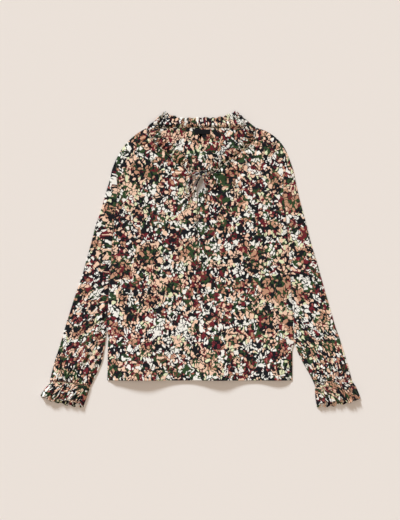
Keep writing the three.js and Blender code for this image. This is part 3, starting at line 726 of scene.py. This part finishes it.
def front_height(x, y, to_seam):
    """The middle of the front at a place, to_seam away from a seam that joins it to the back."""
    under = UNDER_FRONT + fold_height(x, y, FRONT_FOLDS)
    for centre, half, height, run in HEM_WAVES:
        under = under + height * bell((x - centre) / half) * bell((y - HEM_Y) / run)
    under = np.maximum(under + fold_height(x, y, FRONT_CREASES), OVER_YOKE)
    under = under + HEM_RISE * smooth(HEM_Y + HEM_TURN - y)
    facing = smooth(SLIT_FACING + 0.5 - np.abs(x - SLIT_X)) * beside_slit(x, y, 99)
    under = under + FACING_RISE * facing - SLIT_DEPTH * beside_slit(x, y, SLIT_DEPTH)
    return OVER_BACK + (under - OVER_BACK) * smooth(to_seam / SEAM_ROLL) + WALL / 2


def neck_gather(from_seam, row):
    """Small gathers that run out from the neck seam and fade, and a groove along the seam."""
    wave = np.sin(2 * math.pi * NECK_GATHERS * row + 1.3 * np.sin(1.9 * row))
    in_neck = smooth((row - NECK_ROW) / 1.2)
    fading = smooth(from_seam / 4) * bell(from_seam / NECK_GATHER_REACH) * in_neck
    groove = NECK_GROOVE * bell((from_seam - 3) / 2.4) * in_neck
    return (NECK_GATHER_HEIGHT + 0.5 * np.sin(3.1 * row)) * wave * fading - groove


# each sleeve lies at the side seam down to this y
SLEEVE_LEAVES_RIGHT, SLEEVE_LEAVES_LEFT = -225, -192


def to_sleeve(table, sleeve, y):
    """How far the side seam lies from the sleeve's inner edge, which rests against it."""
    inner, side = np.array(sleeve)[::-1, :2], np.array(table)[:ARMHOLE_ROW + 1, 2:4]
    gap = np.interp(y, inner[:, 1], inner[:, 0]) - np.interp(y, side[:, 1], side[:, 0])
    least = math.copysign(0.4, sleeve[0][0])
    leaves = SLEEVE_LEAVES_RIGHT if least > 0 else SLEEVE_LEAVES_LEFT
    return (gap - least) * (gap / least > 1) * smooth((y - leaves) / 25) * (y < 48)


def front_half(table):
    last = len(table) - 1
    sleeve = SLEEVE_RIGHT if table is FRONT_RIGHT else SLEEVE_LEFT

    def place(u, v):
        row = refined(table, v * last)
        x, y = on_row(row, u)
        long = np.hypot(row[:, 2] - row[:, 0], row[:, 3] - row[:, 1])
        to_side = long * (1 - u)
        top = np.repeat(np.array([table[-1]], float), len(u), axis=0)
        top_x, top_y = on_row(top, u)
        to_shoulder = np.hypot(top_x - x, top_y - y)
        into_armhole = smooth((v * last - ARMHOLE_ROW) / ARMHOLE_START)
        to_seam = np.minimum(to_shoulder, to_side + into_armhole * SEAM_ROLL)
        height = front_height(x, y, to_seam)
        z = height + neck_gather(long * u, v * last)
        z = np.maximum(z, np.minimum(height, OVER_YOKE))
        moved = math.copysign(SLIT_OPEN, table[0][2]) * beside_slit(x, y, 5)
        moved = moved + to_sleeve(table, sleeve, y) * smooth((u - 0.93) / 0.07)
        return x + moved, y, z, x, y

    return place


# %% Front
front_mesh = bmesh.new()
for table in (FRONT_RIGHT, FRONT_LEFT):
    laid_cloth(front_mesh, 75, 280, front_half(table), turned=table is FRONT_LEFT)
front = finished_cloth(front_mesh, "front_panel")
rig.replaces(front, "front")

# %% [markdown]
# ## Back and inner yoke
# The back lies flat on the floor. Inside the neck, an inner yoke of the same cloth covers its
# top, right side up, and a bare black label is sewn to it.

# %% Back and inner yoke
def mirrored(table, shift=0):
    return [(-ax, ay, -bx + shift, by, bow) for ax, ay, bx, by, bow in table]


def back_half(table):
    half = []
    for (share, y), (_, _, side_x, side_y, bow) in zip(BACK_INNER, table):
        inset = side_x - math.copysign(BACK_INSET, side_x)
        half.append((share * table[-1][0], y, inset, side_y, bow))
    return half


BACK_CREASES = [
    (-150, 120, -60, 96, 8, 0.7), (-120, 30, 40, -10, 9, 0.8), (60, 150, 90, -60, 8, 0.7),
    (130, 60, 200, -40, 7, 0.8), (-190, -40, -150, -200, 9, 0.7), (-70, -90, -90, -280, 8, 0.8),
    (30, -120, 10, -250, 7, 0.7), (120, -110, 150, -290, 9, 0.8), (-5, 225, -3, 146, 5, 1.5),
]


def flat_half(table, z, cloth_shift, creases=()):
    def place(u, v):
        x, y = on_row(refined(table, v * (len(table) - 1)), u)
        return x, y, z + fold_height(x, y, creases), x + cloth_shift, y + cloth_shift

    return place


back_mesh = bmesh.new()
for table in (FRONT_RIGHT, FRONT_LEFT):
    place = flat_half(back_half(table), WALL / 2, 500, BACK_CREASES)
    laid_cloth(back_mesh, 50, 120, place, turned=table is FRONT_RIGHT)
back = finished_cloth(back_mesh, "back_panel")
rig.replaces(back, "back")

yoke_mesh = bmesh.new()
for table in (YOKE_ROWS, mirrored(YOKE_ROWS, 2)):
    place = flat_half(table, YOKE_Z + WALL / 2, 900)
    laid_cloth(yoke_mesh, 24, 20, place, turned=table is not YOKE_ROWS)
yoke = finished_cloth(yoke_mesh, "inner_yoke_panel")
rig.replaces(yoke, "inner_yoke")

# %% [markdown]
# ## Sleeves and cuffs
# A sleeve is a tube that lies flat: a lower layer on the floor, a rounded fold at each edge and
# an upper layer over it. One grid wraps all the way round and is welded along its length.

# %% A flattened tube
# Its stretches are 0, the lower layer, 1, the outer fold, 2, the upper layer, and 3, the inner
# fold. np.choose takes the value for the stretch that each point is on.
def round_tube(u):
    """Which stretch of the tube each share u is on, and how far along that stretch."""
    ends = [0, 0.3, 0.34, 0.96, 1.0]
    stretch = np.clip(np.searchsorted(ends, u, side="right") - 1, 0, 3)
    starts = np.array(ends)[stretch]
    return stretch, (u - starts) / (np.array(ends)[stretch + 1] - starts)


def squareness(table, at):
    """The sine of the angle between a row and the tube's edges, at its inner and outer end."""
    row = refined(table, at)
    before = refined(table, np.maximum(at - 1, 0))
    after = refined(table, np.minimum(at + 1, len(table) - 1))
    dx, dy = row[:, 2] - row[:, 0], row[:, 3] - row[:, 1]
    sines = []
    for c in (0, 2):
        tx, ty = after[:, c] - before[:, c], after[:, c + 1] - before[:, c + 1]
        sine = np.abs(dx * ty - dy * tx) / np.hypot(dx, dy) / np.hypot(tx, ty)
        sines.append(np.maximum(LEAST_SINE, sine))
    return sines


def tube_points(table, u, at):
    """For shares u round a flat tube: the share across its row, the height, the stretch, the
    share across its layer, and how far round the cloth it is."""
    row = refined(table, at)
    long = np.hypot(row[:, 2] - row[:, 0], row[:, 3] - row[:, 1])
    radius = FOLD_HEIGHT / 2
    inner, outer = (radius / sine / long for sine in squareness(table, at))
    start, end = (reach * (1 + WALL / 2 / radius) for reach in (inner, outer))
    stretch, t = round_tube(u)
    turn = (t - 0.5) * math.pi
    layer = np.where(stretch == 0, t, 1 - t)
    share = start + (1 - start - end) * layer
    share = np.choose(stretch, (share, 1 - end + outer * np.cos(turn), share,
                                start - inner * np.cos(turn)))
    lift = radius * np.sin(turn)
    z = WALL / 2 + np.choose(stretch, (0, radius + lift, FOLD_HEIGHT, radius - lift))
    around = np.choose(stretch, (share, 1 + (2 * t - 1) * end, 2 - share,
                                 2 + (2 * t - 1) * start))
    return share, z, stretch, layer, around * long


# %% Sleeves
def armhole(table):
    """The armhole seam from the underarm to the shoulder, as a function of the share along it."""
    rows = refined(table, np.linspace(ARMHOLE_ROW, len(table) - 1, 200))
    x = rows[:, 2] + math.copysign(SEAM_GAP, table[0][2])
    y = rows[:, 3]
    run = np.concatenate([[0], np.cumsum(np.hypot(np.diff(x), np.diff(y)))])
    return lambda s: (np.interp(s * run[-1], run, x), np.interp(s * run[-1], run, y))


def sleeve_place(table, body, creases, cloth_shift):
    seam = armhole(body)
    (x0, x1), (y0, y1) = seam(np.array([0.0, 1.0]))
    rows = [(x0, y0, x1, y1, 0)] + [(*row, 0) for row in table]
    last = len(rows) - 1
    start_x, start_y = (x0 + x1) / 2, (y0 + y1) / 2
    down_x = (rows[-1][0] + rows[-1][2]) / 2 - start_x
    down_y = (rows[-1][1] + rows[-1][3]) / 2 - start_y
    long = math.hypot(down_x, down_y)

    def on_cloth(x, y):
        """How far a place is across the sleeve's middle line, and along it."""
        x, y = x - start_x, y - start_y
        return (y * down_x - x * down_y) / long, (x * down_x + y * down_y) / long

    def place(u, v):
        at = v * last
        share, z, stretch, t, _ = tube_points(rows, u, at)
        x, y = on_row(refined(rows, at), share)
        seam_x, seam_y = seam(share)
        chord_x, chord_y = on_row(refined(rows, at * 0), share)
        curve = np.maximum(0, 1 - at / ARMHOLE_ROWS)
        x = x + curve * (seam_x - chord_x)
        y = y + curve * (seam_y - chord_y)
        filling = smooth((v - FULL_FROM) / (1 - FULL_FROM))
        belly = SLEEVE_BELLY + (CUFF_BELLY - SLEEVE_BELLY) * filling
        dome = smooth(t / SLEEVE_EDGE) * smooth((1 - t) / SLEEVE_EDGE)
        uneven = t + 0.02 * np.sin(9 * t)
        gather = np.sin(2 * math.pi * SLEEVE_GATHERS * uneven + 2.5 * v)
        gathered = smooth((v - GATHERED_FROM + 0.05 * np.sin(23 * t)) / 0.16)
        lift = belly + fold_height(x, y, creases)
        lift = lift + (SLEEVE_GATHER_HEIGHT + 0.5 * np.sin(31 * t)) * gathered * gather
        low = 0.4 * gathered * (1 + gather) + 0.5 * bell((t - 0.4 - 0.2 * np.sin(9 * v)) / 0.08)
        z = z + dome * np.choose(stretch, (low, 0, np.maximum(lift, -1.3), 0))
        row = refined(rows, at)
        (across, along), (edge, _) = on_cloth(x, y), on_cloth(row[:, 2], row[:, 3])
        folded_over = (stretch > 1) | ((stretch == 1) & (z > WALL / 2 + FOLD_HEIGHT / 2))
        across = np.where(folded_over, 2 * edge - across, across)
        drawn_in = 1 + SLEEVE_FULLNESS * smooth((v - 0.35) / 0.6)
        return x, y, z, across * drawn_in + cloth_shift, along

    return place


SLEEVE_FULLNESS = 0.35          # how much more cloth there is where the elastic draws it in
SLEEVE_GATHERS = 17             # above the elastic
SLEEVE_GATHER_HEIGHT = 1.2
GATHERED_FROM = 0.82            # share of the sleeve's length
SLEEVE_CREASES_RIGHT = [
    (230, -20, 238, -74, 3.5, -2.0), (236, -58, 252, -116, 3.5, -2.2),
    (243, -52, 262, -112, 6, 2.0), (334, -238, 284, -256, 6, 1.8),
    (338, -250, 278, -268, 4, -2.6), (330, -263, 288, -281, 5, 1.5),
    (281, -262, 298, -298, 4, -1.8), (236, 156, 258, 40, 8, 1.2), (252, 110, 243, 16, 6, -1.0),
    (264, 30, 292, -60, 8, 1.2), (252, -8, 270, -84, 6, -1.0), (302, -66, 282, -158, 8, 1.3),
    (312, -126, 332, -204, 5, -1.3), (260, -128, 290, -206, 7, 1.4),
    (304, -180, 322, -236, 6, 1.2),
]
SLEEVE_CREASES_LEFT = [
    (-229, -104, -244, -166, 3.5, -2.4), (-243, -158, -262, -224, 3.5, -2.6),
    (-260, -216, -296, -276, 3.5, -2.6), (-288, -271, -352, -291, 4, -2.2),
    (-238, -100, -253, -162, 5.5, 3.6), (-253, -154, -273, -218, 5.5, 4.2),
    (-271, -210, -303, -264, 5.5, 3.8), (-300, -258, -350, -276, 6, 2.2),
    (-232, 62, -262, -62, 8, 1.2), (-246, 92, -236, 0, 6, -1.0), (-262, -18, -240, -90, 6, 1.2),
    (-286, -58, -262, -152, 8, 1.2), (-302, -116, -276, -200, 5, -1.3),
    (-320, -138, -290, -232, 7, 1.2), (-342, -212, -322, -282, 6, 1.3),
]

sleeves = {}
for name, table, body, creases, shift in (
        ("sleeve_right", SLEEVE_RIGHT, FRONT_RIGHT, SLEEVE_CREASES_RIGHT, 1300),
        ("sleeve_left", SLEEVE_LEFT, FRONT_LEFT, SLEEVE_CREASES_LEFT, 1700)):
    sleeve_mesh = bmesh.new()
    place = sleeve_place(table, body, creases, shift)
    laid_cloth(sleeve_mesh, 190, 220, place, turned=table is SLEEVE_LEFT)
    sleeves[name] = finished_cloth(sleeve_mesh, name + "_tube")
    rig.replaces(sleeves[name], name)


# %% Cuffs
ELASTIC_END = 0.36              # share of the cuff's length that the elastic draws in
ELASTIC_THREADS = (0.06, 0.15, 0.24, 0.33)
CUFF_GATHERS = 14               # in the upper layer
CUFF_LONG = 66
CUFF_FULLNESS = 1.35            # what the modelled gathers nearly hold; a real one takes more


def cuff_place(table, cloth_shift):
    last = len(table) - 1
    rows = [row[:5] for row in table]

    def place(u, v):
        at = v * last
        share, z, stretch, t, around = tube_points(rows, u, at)
        x, y = on_row(refined(rows, at), share)
        height = refined([row[5:] for row in table], at)[:, 0]
        ends = smooth(t / 0.06) * smooth((1 - t) / 0.06)
        k = CUFF_GATHERS * (t + 0.012 * np.sin(8 * t + 0.4)) + 0.06
        frill = (1.15 + 0.45 * np.sin(2.3 * k)) * (2 * np.abs(np.sin(math.pi * k)) ** 0.8 - 1)
        shirring = 0.8 * np.sin(2 * math.pi * 2.5 * k)
        banded = smooth((ELASTIC_END - v) / 0.08)
        height = height * (banded * shirring + (1 - banded) * frill)
        for thread in ELASTIC_THREADS:
            height = height - 0.7 * bell((v - thread) / 0.018)
        lift = ends * (CUFF_BELLY + FRILL_RISE * v + height)
        low = ends * 0.9 * v * (1 + np.sin(2 * math.pi * 12 * t + 2.1))
        z = z + np.choose(stretch, (low, 0, lift, 0))
        showing = smooth(t / 0.1) * smooth((0.75 - t) / 0.2)
        edge_wave = 1.8 * np.sin(2 * math.pi * 5 * t + 2.2 * np.sin(4 * t)) * ends
        up_edge = FRILL_UNDER_SHOWS * v * showing + edge_wave * v * v
        y = y + np.choose(stretch, (-edge_wave * v * v, 0, up_edge, 0))
        return x, y, z, around * CUFF_FULLNESS + cloth_shift, v * CUFF_LONG

    return place


# name, rows, where its cloth lies in the print
CUFFS = (("cuff_right", CUFF_RIGHT, 2100), ("cuff_left", CUFF_LEFT, 2400))
cuffs = {}
for name, table, shift in CUFFS:
    cuff_mesh = bmesh.new()
    laid_cloth(cuff_mesh, 400, 54, cuff_place(table, shift), turned=table is CUFF_LEFT)
    cuffs[name] = finished_cloth(cuff_mesh, name + "_frill", inner=right_side)
    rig.replaces(cuffs[name], name)

# %% [markdown]
# ## Collar and neck binding
# The collar is a gathered strip that stands up from the neck seam and has folded outwards at
# the shoulders. A narrow binding runs along the seam, and its ends become the ties of the bow.

# %% Collar
def by_length(table):
    """The rows of a table as a function of the share of the way along their first point."""
    rows = refined(table, np.linspace(0, len(table) - 1, 8 * (len(table) - 1) + 1))
    run = run_of(rows[:, :3])
    return lambda share: at_run(rows, run, share * run[-1]), run[-1]


collar_at, collar_long = by_length(COLLAR_LINES)


def on_collar(line, share):
    share = share[:, None]
    seam, mid, edge = line[:, 0:3], line[:, 3:6], line[:, 6:9]
    return (seam * (1 - share) * (1 - 2 * share) + mid * 4 * share * (1 - share)
            + edge * share * (2 * share - 1))


def share_of(line, width):
    return width / (2 * np.linalg.norm(line[:, 3:6] - line[:, 0:3], axis=1))


def collar_place(u, v):
    line = collar_at(u)
    start = share_of(line, BINDING_WIDTH - 0.8)
    share = start + v * (1 - start)
    step = 0.002
    point = on_collar(line, share)
    ahead, behind = collar_at(np.minimum(u + step, 1)), collar_at(np.maximum(u - step, 0))
    along = on_collar(ahead, share) - on_collar(behind, share)
    outward = on_collar(line, np.minimum(share + 0.1, 1)) - on_collar(line, share - 0.1)
    normal = unit(np.cross(outward, along))
    k = u * COLLAR_GATHERS
    k = k + 0.16 * np.sin(0.83 * k) + 0.1 * np.sin(2.1 * k)
    roll = 2 * np.abs(np.sin(math.pi * k)) ** 0.75 - 1
    merged = np.sin(math.pi * k / 2 + 0.7)
    wave = roll * (1 - 0.35 * v) + merged * 0.6 * v
    size = COLLAR_GATHER_HEIGHT * (1.25 + 0.4 * np.sin(1.7 * k + 0.5))
    size = size * np.minimum(1, 0.25 + 1.6 * v)
    up = normal[:, 2] / (np.abs(normal[:, 2]) + 0.15)
    point = point + normal * (size * smooth(v / 0.15) * wave * up)[:, None]
    outward = unit(outward)
    scallop = 1.3 * v * v * np.sin(2 * math.pi * k * 0.5 + 0.4 * np.sin(k))
    point = point + outward * scallop[:, None]
    at_back = smooth((line[:, 1] - 329) / 2) * smooth((128 - np.abs(line[:, 0])) / 30)
    stand = STANDS_AT_BACK * at_back * bell((v - 0.22) / 0.2)
    stand = stand + STANDS_AT_FRONT * (1 - at_back) * bell((v - 0.42) / 0.28)
    point[:, 2] = np.maximum(point[:, 2], CLOTH) + stand
    wide = np.linalg.norm(line[:, 3:6] - line[:, 0:3], axis=1)
    wide = (wide + np.linalg.norm(line[:, 6:9] - line[:, 3:6], axis=1)) * (1 - start)
    return (point[:, 0], point[:, 1], point[:, 2],
            u * collar_long * COLLAR_FULLNESS + 3000, v * wide)


collar_mesh = bmesh.new()
laid_cloth(collar_mesh, 900, 16, collar_place)
collar = finished_cloth(collar_mesh, "collar_strip", inner=right_side)
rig.replaces(collar, "collar")


def binding_place(u, v):
    line = collar_at(u)
    point = on_collar(line, v * share_of(line, BINDING_WIDTH))
    return point[:, 0], point[:, 1], point[:, 2], u * collar_long + 3600, v * 5


binding_mesh = bmesh.new()
laid_cloth(binding_mesh, 240, 4, binding_place)
binding = finished_cloth(binding_mesh, "neck_binding_strip", 0.9, inner=right_side)
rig.replaces(binding, "neck_binding")

# %% [markdown]
# ## The bow
# The binding's ends go on as narrow ties, which are turned tubes of the same cloth. They are
# tied in a small bow: two loops, two ends and a knot.

# %% Ties
def tie_tube(name, route):
    route = np.asarray(route, float)
    steps = 12 * (len(route) - 1)
    line = refined(route, np.linspace(0, len(route) - 1, steps + 1))
    run = run_of(line)

    def place(u, v):
        at = v * run[-1]
        centre = at_run(line, run, at)
        ahead = unit(at_run(line, run, at + 1) - at_run(line, run, at - 1))
        side = unit(np.cross(ahead, np.array([0, 0, 1.0])))
        up = np.cross(side, ahead)
        turn = 2 * math.pi * u
        point = centre + (TIE / 2) * (side * np.cos(turn)[:, None] + up * np.sin(turn)[:, None])
        return point[:, 0], point[:, 1], point[:, 2], u * math.pi * TIE + 4000, at + len(name) * 40

    return closed_tube(name, 16, steps, place), line * MM, run[-1] * MM


ties = {}
for name, route in TIES.items():
    ties[name] = tie_tube(name + "_tube", route)
    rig.replaces(ties[name][0], name)
    print(name, round(ties[name][2] * 1000), "mm long")

# %% Knot
KNOT_GROOVES = (-0.42, 0.46)    # where the loops come out of the band round the middle


def knot_place(u, v):
    """A small pillow of wound cloth: pinched beside its middle band, and wrinkled along it."""
    turn = 2 * math.pi * u
    across = np.sin(math.pi * (v - 0.5))
    radius = np.cos(math.pi * (v - 0.5)) ** 0.8
    for groove in KNOT_GROOVES:
        radius = radius * (1 - 0.16 * bell((across - groove) / 0.13))
    radius = radius * (1 + 0.05 * np.sin(5 * turn + 4 * across))
    x = KNOT[0] + KNOT_SIZE[0] * across
    y = KNOT[1] + KNOT_SIZE[1] * radius * np.cos(turn)
    z = KNOT[2] + KNOT_SIZE[2] * radius * np.sin(turn)
    return x, y, z, x + 4400, turn * 5


knot = closed_tube("knot", 40, 28, knot_place)
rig.replaces(knot, "tie_knot")

# %% [markdown]
# ## Label
# The label is a small black woven tape with its ends turned under. It is bare. Its threads run
# along it, which gives a faint sheen in bands.

# %% Label
label_satin, label_shader, label_node, label_links = new_material("label_satin", 0.6)
on_label = label_node("TexCoord").outputs["Object"]
weave = label_node("TexWave", {"Vector": on_label, "Scale": 900.0, "Distortion": 0.6},
                   bands_direction="Y")
label_black = mixed(label_node, weave.outputs["Fac"], srgb(8, 8, 10), srgb(20, 20, 23))
label_links.new(label_black, label_shader.inputs["Base Color"])
label_shader.inputs["Specular IOR Level"].default_value = 0.15
label_bump = label_node("Bump", {"Strength": 0.4, "Distance": 0.0001,
                                           "Height": weave.outputs["Fac"]})
label_links.new(label_bump.outputs[0], label_shader.inputs["Normal"])


def label_place(u, v):
    """The tape lies flat and is thicker at its ends, where it is turned under."""
    x = LABEL_PLACE[0] + (u - 0.5) * LABEL[0]
    y = LABEL_PLACE[1] + (v - 0.5) * LABEL[1]
    turned_end = smooth((np.abs(u - 0.5) - 0.42) / 0.02)
    return x, y, LABEL_PLACE[2] - 0.1 + 0.15 * turned_end + 0.1 * np.sin(7 * u), x, y


label_mesh = bmesh.new()
laid_cloth(label_mesh, 80, 12, label_place)
label = finished_cloth(label_mesh, "label_tape", 0.35, cloth=label_satin, inner=label_satin)
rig.slot(label, "label")
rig.replaces(label, "label")

# %% [markdown]
# ## Sewing
# Rows of stitches hold the hem, the slit, the neck, the collar's edge and the elastic. Each
# stitch is a short rounded bead of dark thread, and it goes through the cloth, so it shows on
# both of its sides. The rows are worked out from the same functions as the cloth.

# %% Stitches
STITCH = 2.3
STITCH_PITCH = 3.1
THREAD_RADIUS = 0.34

thread, thread_shader, thread_node, thread_links = new_material("thread", 0.6)
fibres = noise(thread_node, thread_node("TexCoord").outputs["Object"], 700, 2)[0]
thread_links.new(mixed(thread_node, fibres, srgb(12, 13, 18), srgb(48, 46, 52)),
                 thread_shader.inputs["Base Color"])


def stitched(name, rows):
    """One piece with a stitch at even steps along each row of points, in millimetres."""
    bm = bmesh.new()
    for row in rows:
        row = np.stack(row[:3], axis=1)
        run = run_of(row)
        for start in np.arange(STITCH_PITCH / 4, run[-1] - STITCH, STITCH_PITCH):
            a, b = (Vector(at_run(row, run, at)) for at in (start, start + STITCH))
            turn = (b - a).to_track_quat("X", "Z").to_matrix().to_4x4()
            size = Matrix.Diagonal((STITCH / 2, THREAD_RADIUS, THREAD_RADIUS, 1)) * MM
            size[3][3] = 1
            bmesh.ops.create_icosphere(bm, subdivisions=1, radius=1,
                                       matrix=Matrix.Translation((a + b) / 2 * MM) @ turn @ size)
    for face in bm.faces:
        face.smooth = True
    piece = new_piece(bm, name, (thread,))
    print(name, len(piece.data.polygons) // 20, "stitches")
    return piece


def line_of(place, u, v):
    """Points of a cloth's function along a line of the grid: u or v is a pair of ends."""
    steps = np.linspace(0, 1, 400)
    u, v = (end[0] + (end[1] - end[0]) * steps for end in (u, v))
    return place(u, v)


last_row = len(FRONT_RIGHT) - 1
hem_share = (HEM_TURN - 1) / (FRONT_RIGHT[1][1] - HEM_Y) / last_row
front_rows, back_rows = [], []
for table in (FRONT_RIGHT, FRONT_LEFT):
    half = front_half(table)
    front_rows.append(line_of(half, (0.002, 0.995), (hem_share, hem_share)))
    front_rows.append(line_of(half, (0.022, 0.022), (4.1 / last_row, 7.3 / last_row)))
    front_rows.append(line_of(half, (0.012, 0.016), (10.1 / last_row, 0.995)))
    half = flat_half(back_half(table), WALL / 2, 500, BACK_CREASES)
    back_rows.append(line_of(half, (0.002, 0.995), (hem_share, hem_share)))
front_stitches = stitched("front_stitches", front_rows)
back_stitches = stitched("back_stitches", back_rows)
collar_row = line_of(collar_place, (0.005, 0.995), (0.93, 0.93))
collar_stitches = stitched("collar_stitches", [collar_row])
cuff_stitches = {}
for name, table, shift in CUFFS:
    rows = [line_of(cuff_place(table, shift), (0.005, 0.995), (at, at)) for at in ELASTIC_THREADS]
    cuff_stitches[name] = stitched(name + "_stitches", rows)
label_stitches = stitched("label_stitches", [line_of(label_place, (at, at), (0.02, 0.98))
                                             for at in (0.03, 0.97)])

# %% Floor and light
FLOOR_BELOW = 0.0003            # metres under the cloth

floor_paint, floor_shader, _, _ = new_material("floor_paint", 0.9)
floor_shader.inputs["Base Color"].default_value = srgb(236, 227, 219)
floor_mesh = bmesh.new()
bmesh.ops.create_grid(floor_mesh, x_segments=2, y_segments=2, size=6)
mesh = bpy.data.meshes.new("floor")
floor_mesh.to_mesh(mesh)
floor_mesh.free()
mesh.materials.append(floor_paint)
floor = in_scene("floor", mesh)
floor.location.z = -FLOOR_BELOW
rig.stage(floor)


def sun(name, towards, strength, softness, colour):
    """A distant light, so that it falls evenly on the whole floor."""
    data = bpy.data.lights.new(name, "SUN")
    data.energy = strength
    data.angle = math.radians(softness)
    data.color = colour
    light = in_scene(name, data)
    light.rotation_euler = (-Vector(towards)).to_track_quat("-Z", "Y").to_euler()
    return light


COOL, WARM = (0.79, 0.90, 1.0), (1.0, 0.873, 0.759)
sun("key_light", (-0.4, 0.86, 0.46), 3.92, 12, COOL)
sun("top_light", (0.2, -0.2, 1), 0.7, 60, WARM)
world = bpy.data.worlds.new("studio")
world.use_nodes = True
world.node_tree.nodes["Background"].inputs["Color"].default_value = (*WARM, 1)
world.node_tree.nodes["Background"].inputs["Strength"].default_value = 0.34
bpy.context.scene.world = world
bpy.context.scene.view_settings.view_transform = "Standard"

# %% [markdown]
# ## Cords and sheets
# The ties lie free on the blouse, so each is declared as a cord with its length. Every panel is
# declared as a sheet with the flat size of the cloth that lies here, without seam allowances.
# The print's own coordinates are that flat cloth, so its size and area are read from them.

# %% The cords of the bow
for name, pieces_on_it, far_end in (
        ("tie_loop_left", [knot, ties["tie_strand_left"][0]], "knot"),
        ("tie_loop_right", [], "object"), ("tie_end_left", [], "bare"),
        ("tie_end_right", [], "bare")):
    tie, line, long = ties[name]
    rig.cord(tie, exit=line[0], length=long, diameter=TIE * MM, far_end=far_end, stiffness="limp",
            lay="loose", path=line, with_pieces=pieces_on_it)


# %% The cut of each sheet
def cut_of(piece):
    """Width, length and area of the flat cloth, in metres, and the modelled area."""
    mesh = piece.data
    at = np.empty(len(mesh.loops) * 2)
    mesh.uv_layers["cloth"].data.foreach_get("uv", at)
    at = at.reshape(-1, 4, 2)
    across, up = at[:, 2] - at[:, 0], at[:, 3] - at[:, 1]
    area = np.abs(across[:, 0] * up[:, 1] - across[:, 1] * up[:, 0]).sum() / 2
    width, length = at.reshape(-1, 2).max(axis=0) - at.reshape(-1, 2).min(axis=0)
    return width, length, area, sum(face.area for face in mesh.polygons)


for piece, held, rests_on, pieces_on_it in (
        (front, "laid", ["back"], [front_stitches]),
        (back, "laid", [], [back_stitches]),
        (yoke, "laid", ["back"], [label, label_stitches]),
        (collar, "gathered", ["front"], [binding, collar_stitches]),
        (sleeves["sleeve_right"], "laid", [], []),
        (sleeves["sleeve_left"], "laid", [], []),
        (cuffs["cuff_right"], "gathered", [], [cuff_stitches["cuff_right"]]),
        (cuffs["cuff_left"], "gathered", [], [cuff_stitches["cuff_left"]])):
    width, length, area, modelled = cut_of(piece)
    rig.sheet(piece, flat=(width, length), held=held, rests_on=rests_on, area=area,
             with_pieces=pieces_on_it)
    print(piece.name, round(width * 1000), "x", round(length * 1000), "mm,", round(area, 4),
          "m2, modelled share", round(modelled / area, 2))

# %% Sizes of the model and of what is shown
seen_box = [list(corner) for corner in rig.bounds()]
with open("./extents.json", "w") as file:
    json.dump({"cad": cad_box, "visual": seen_box}, file)
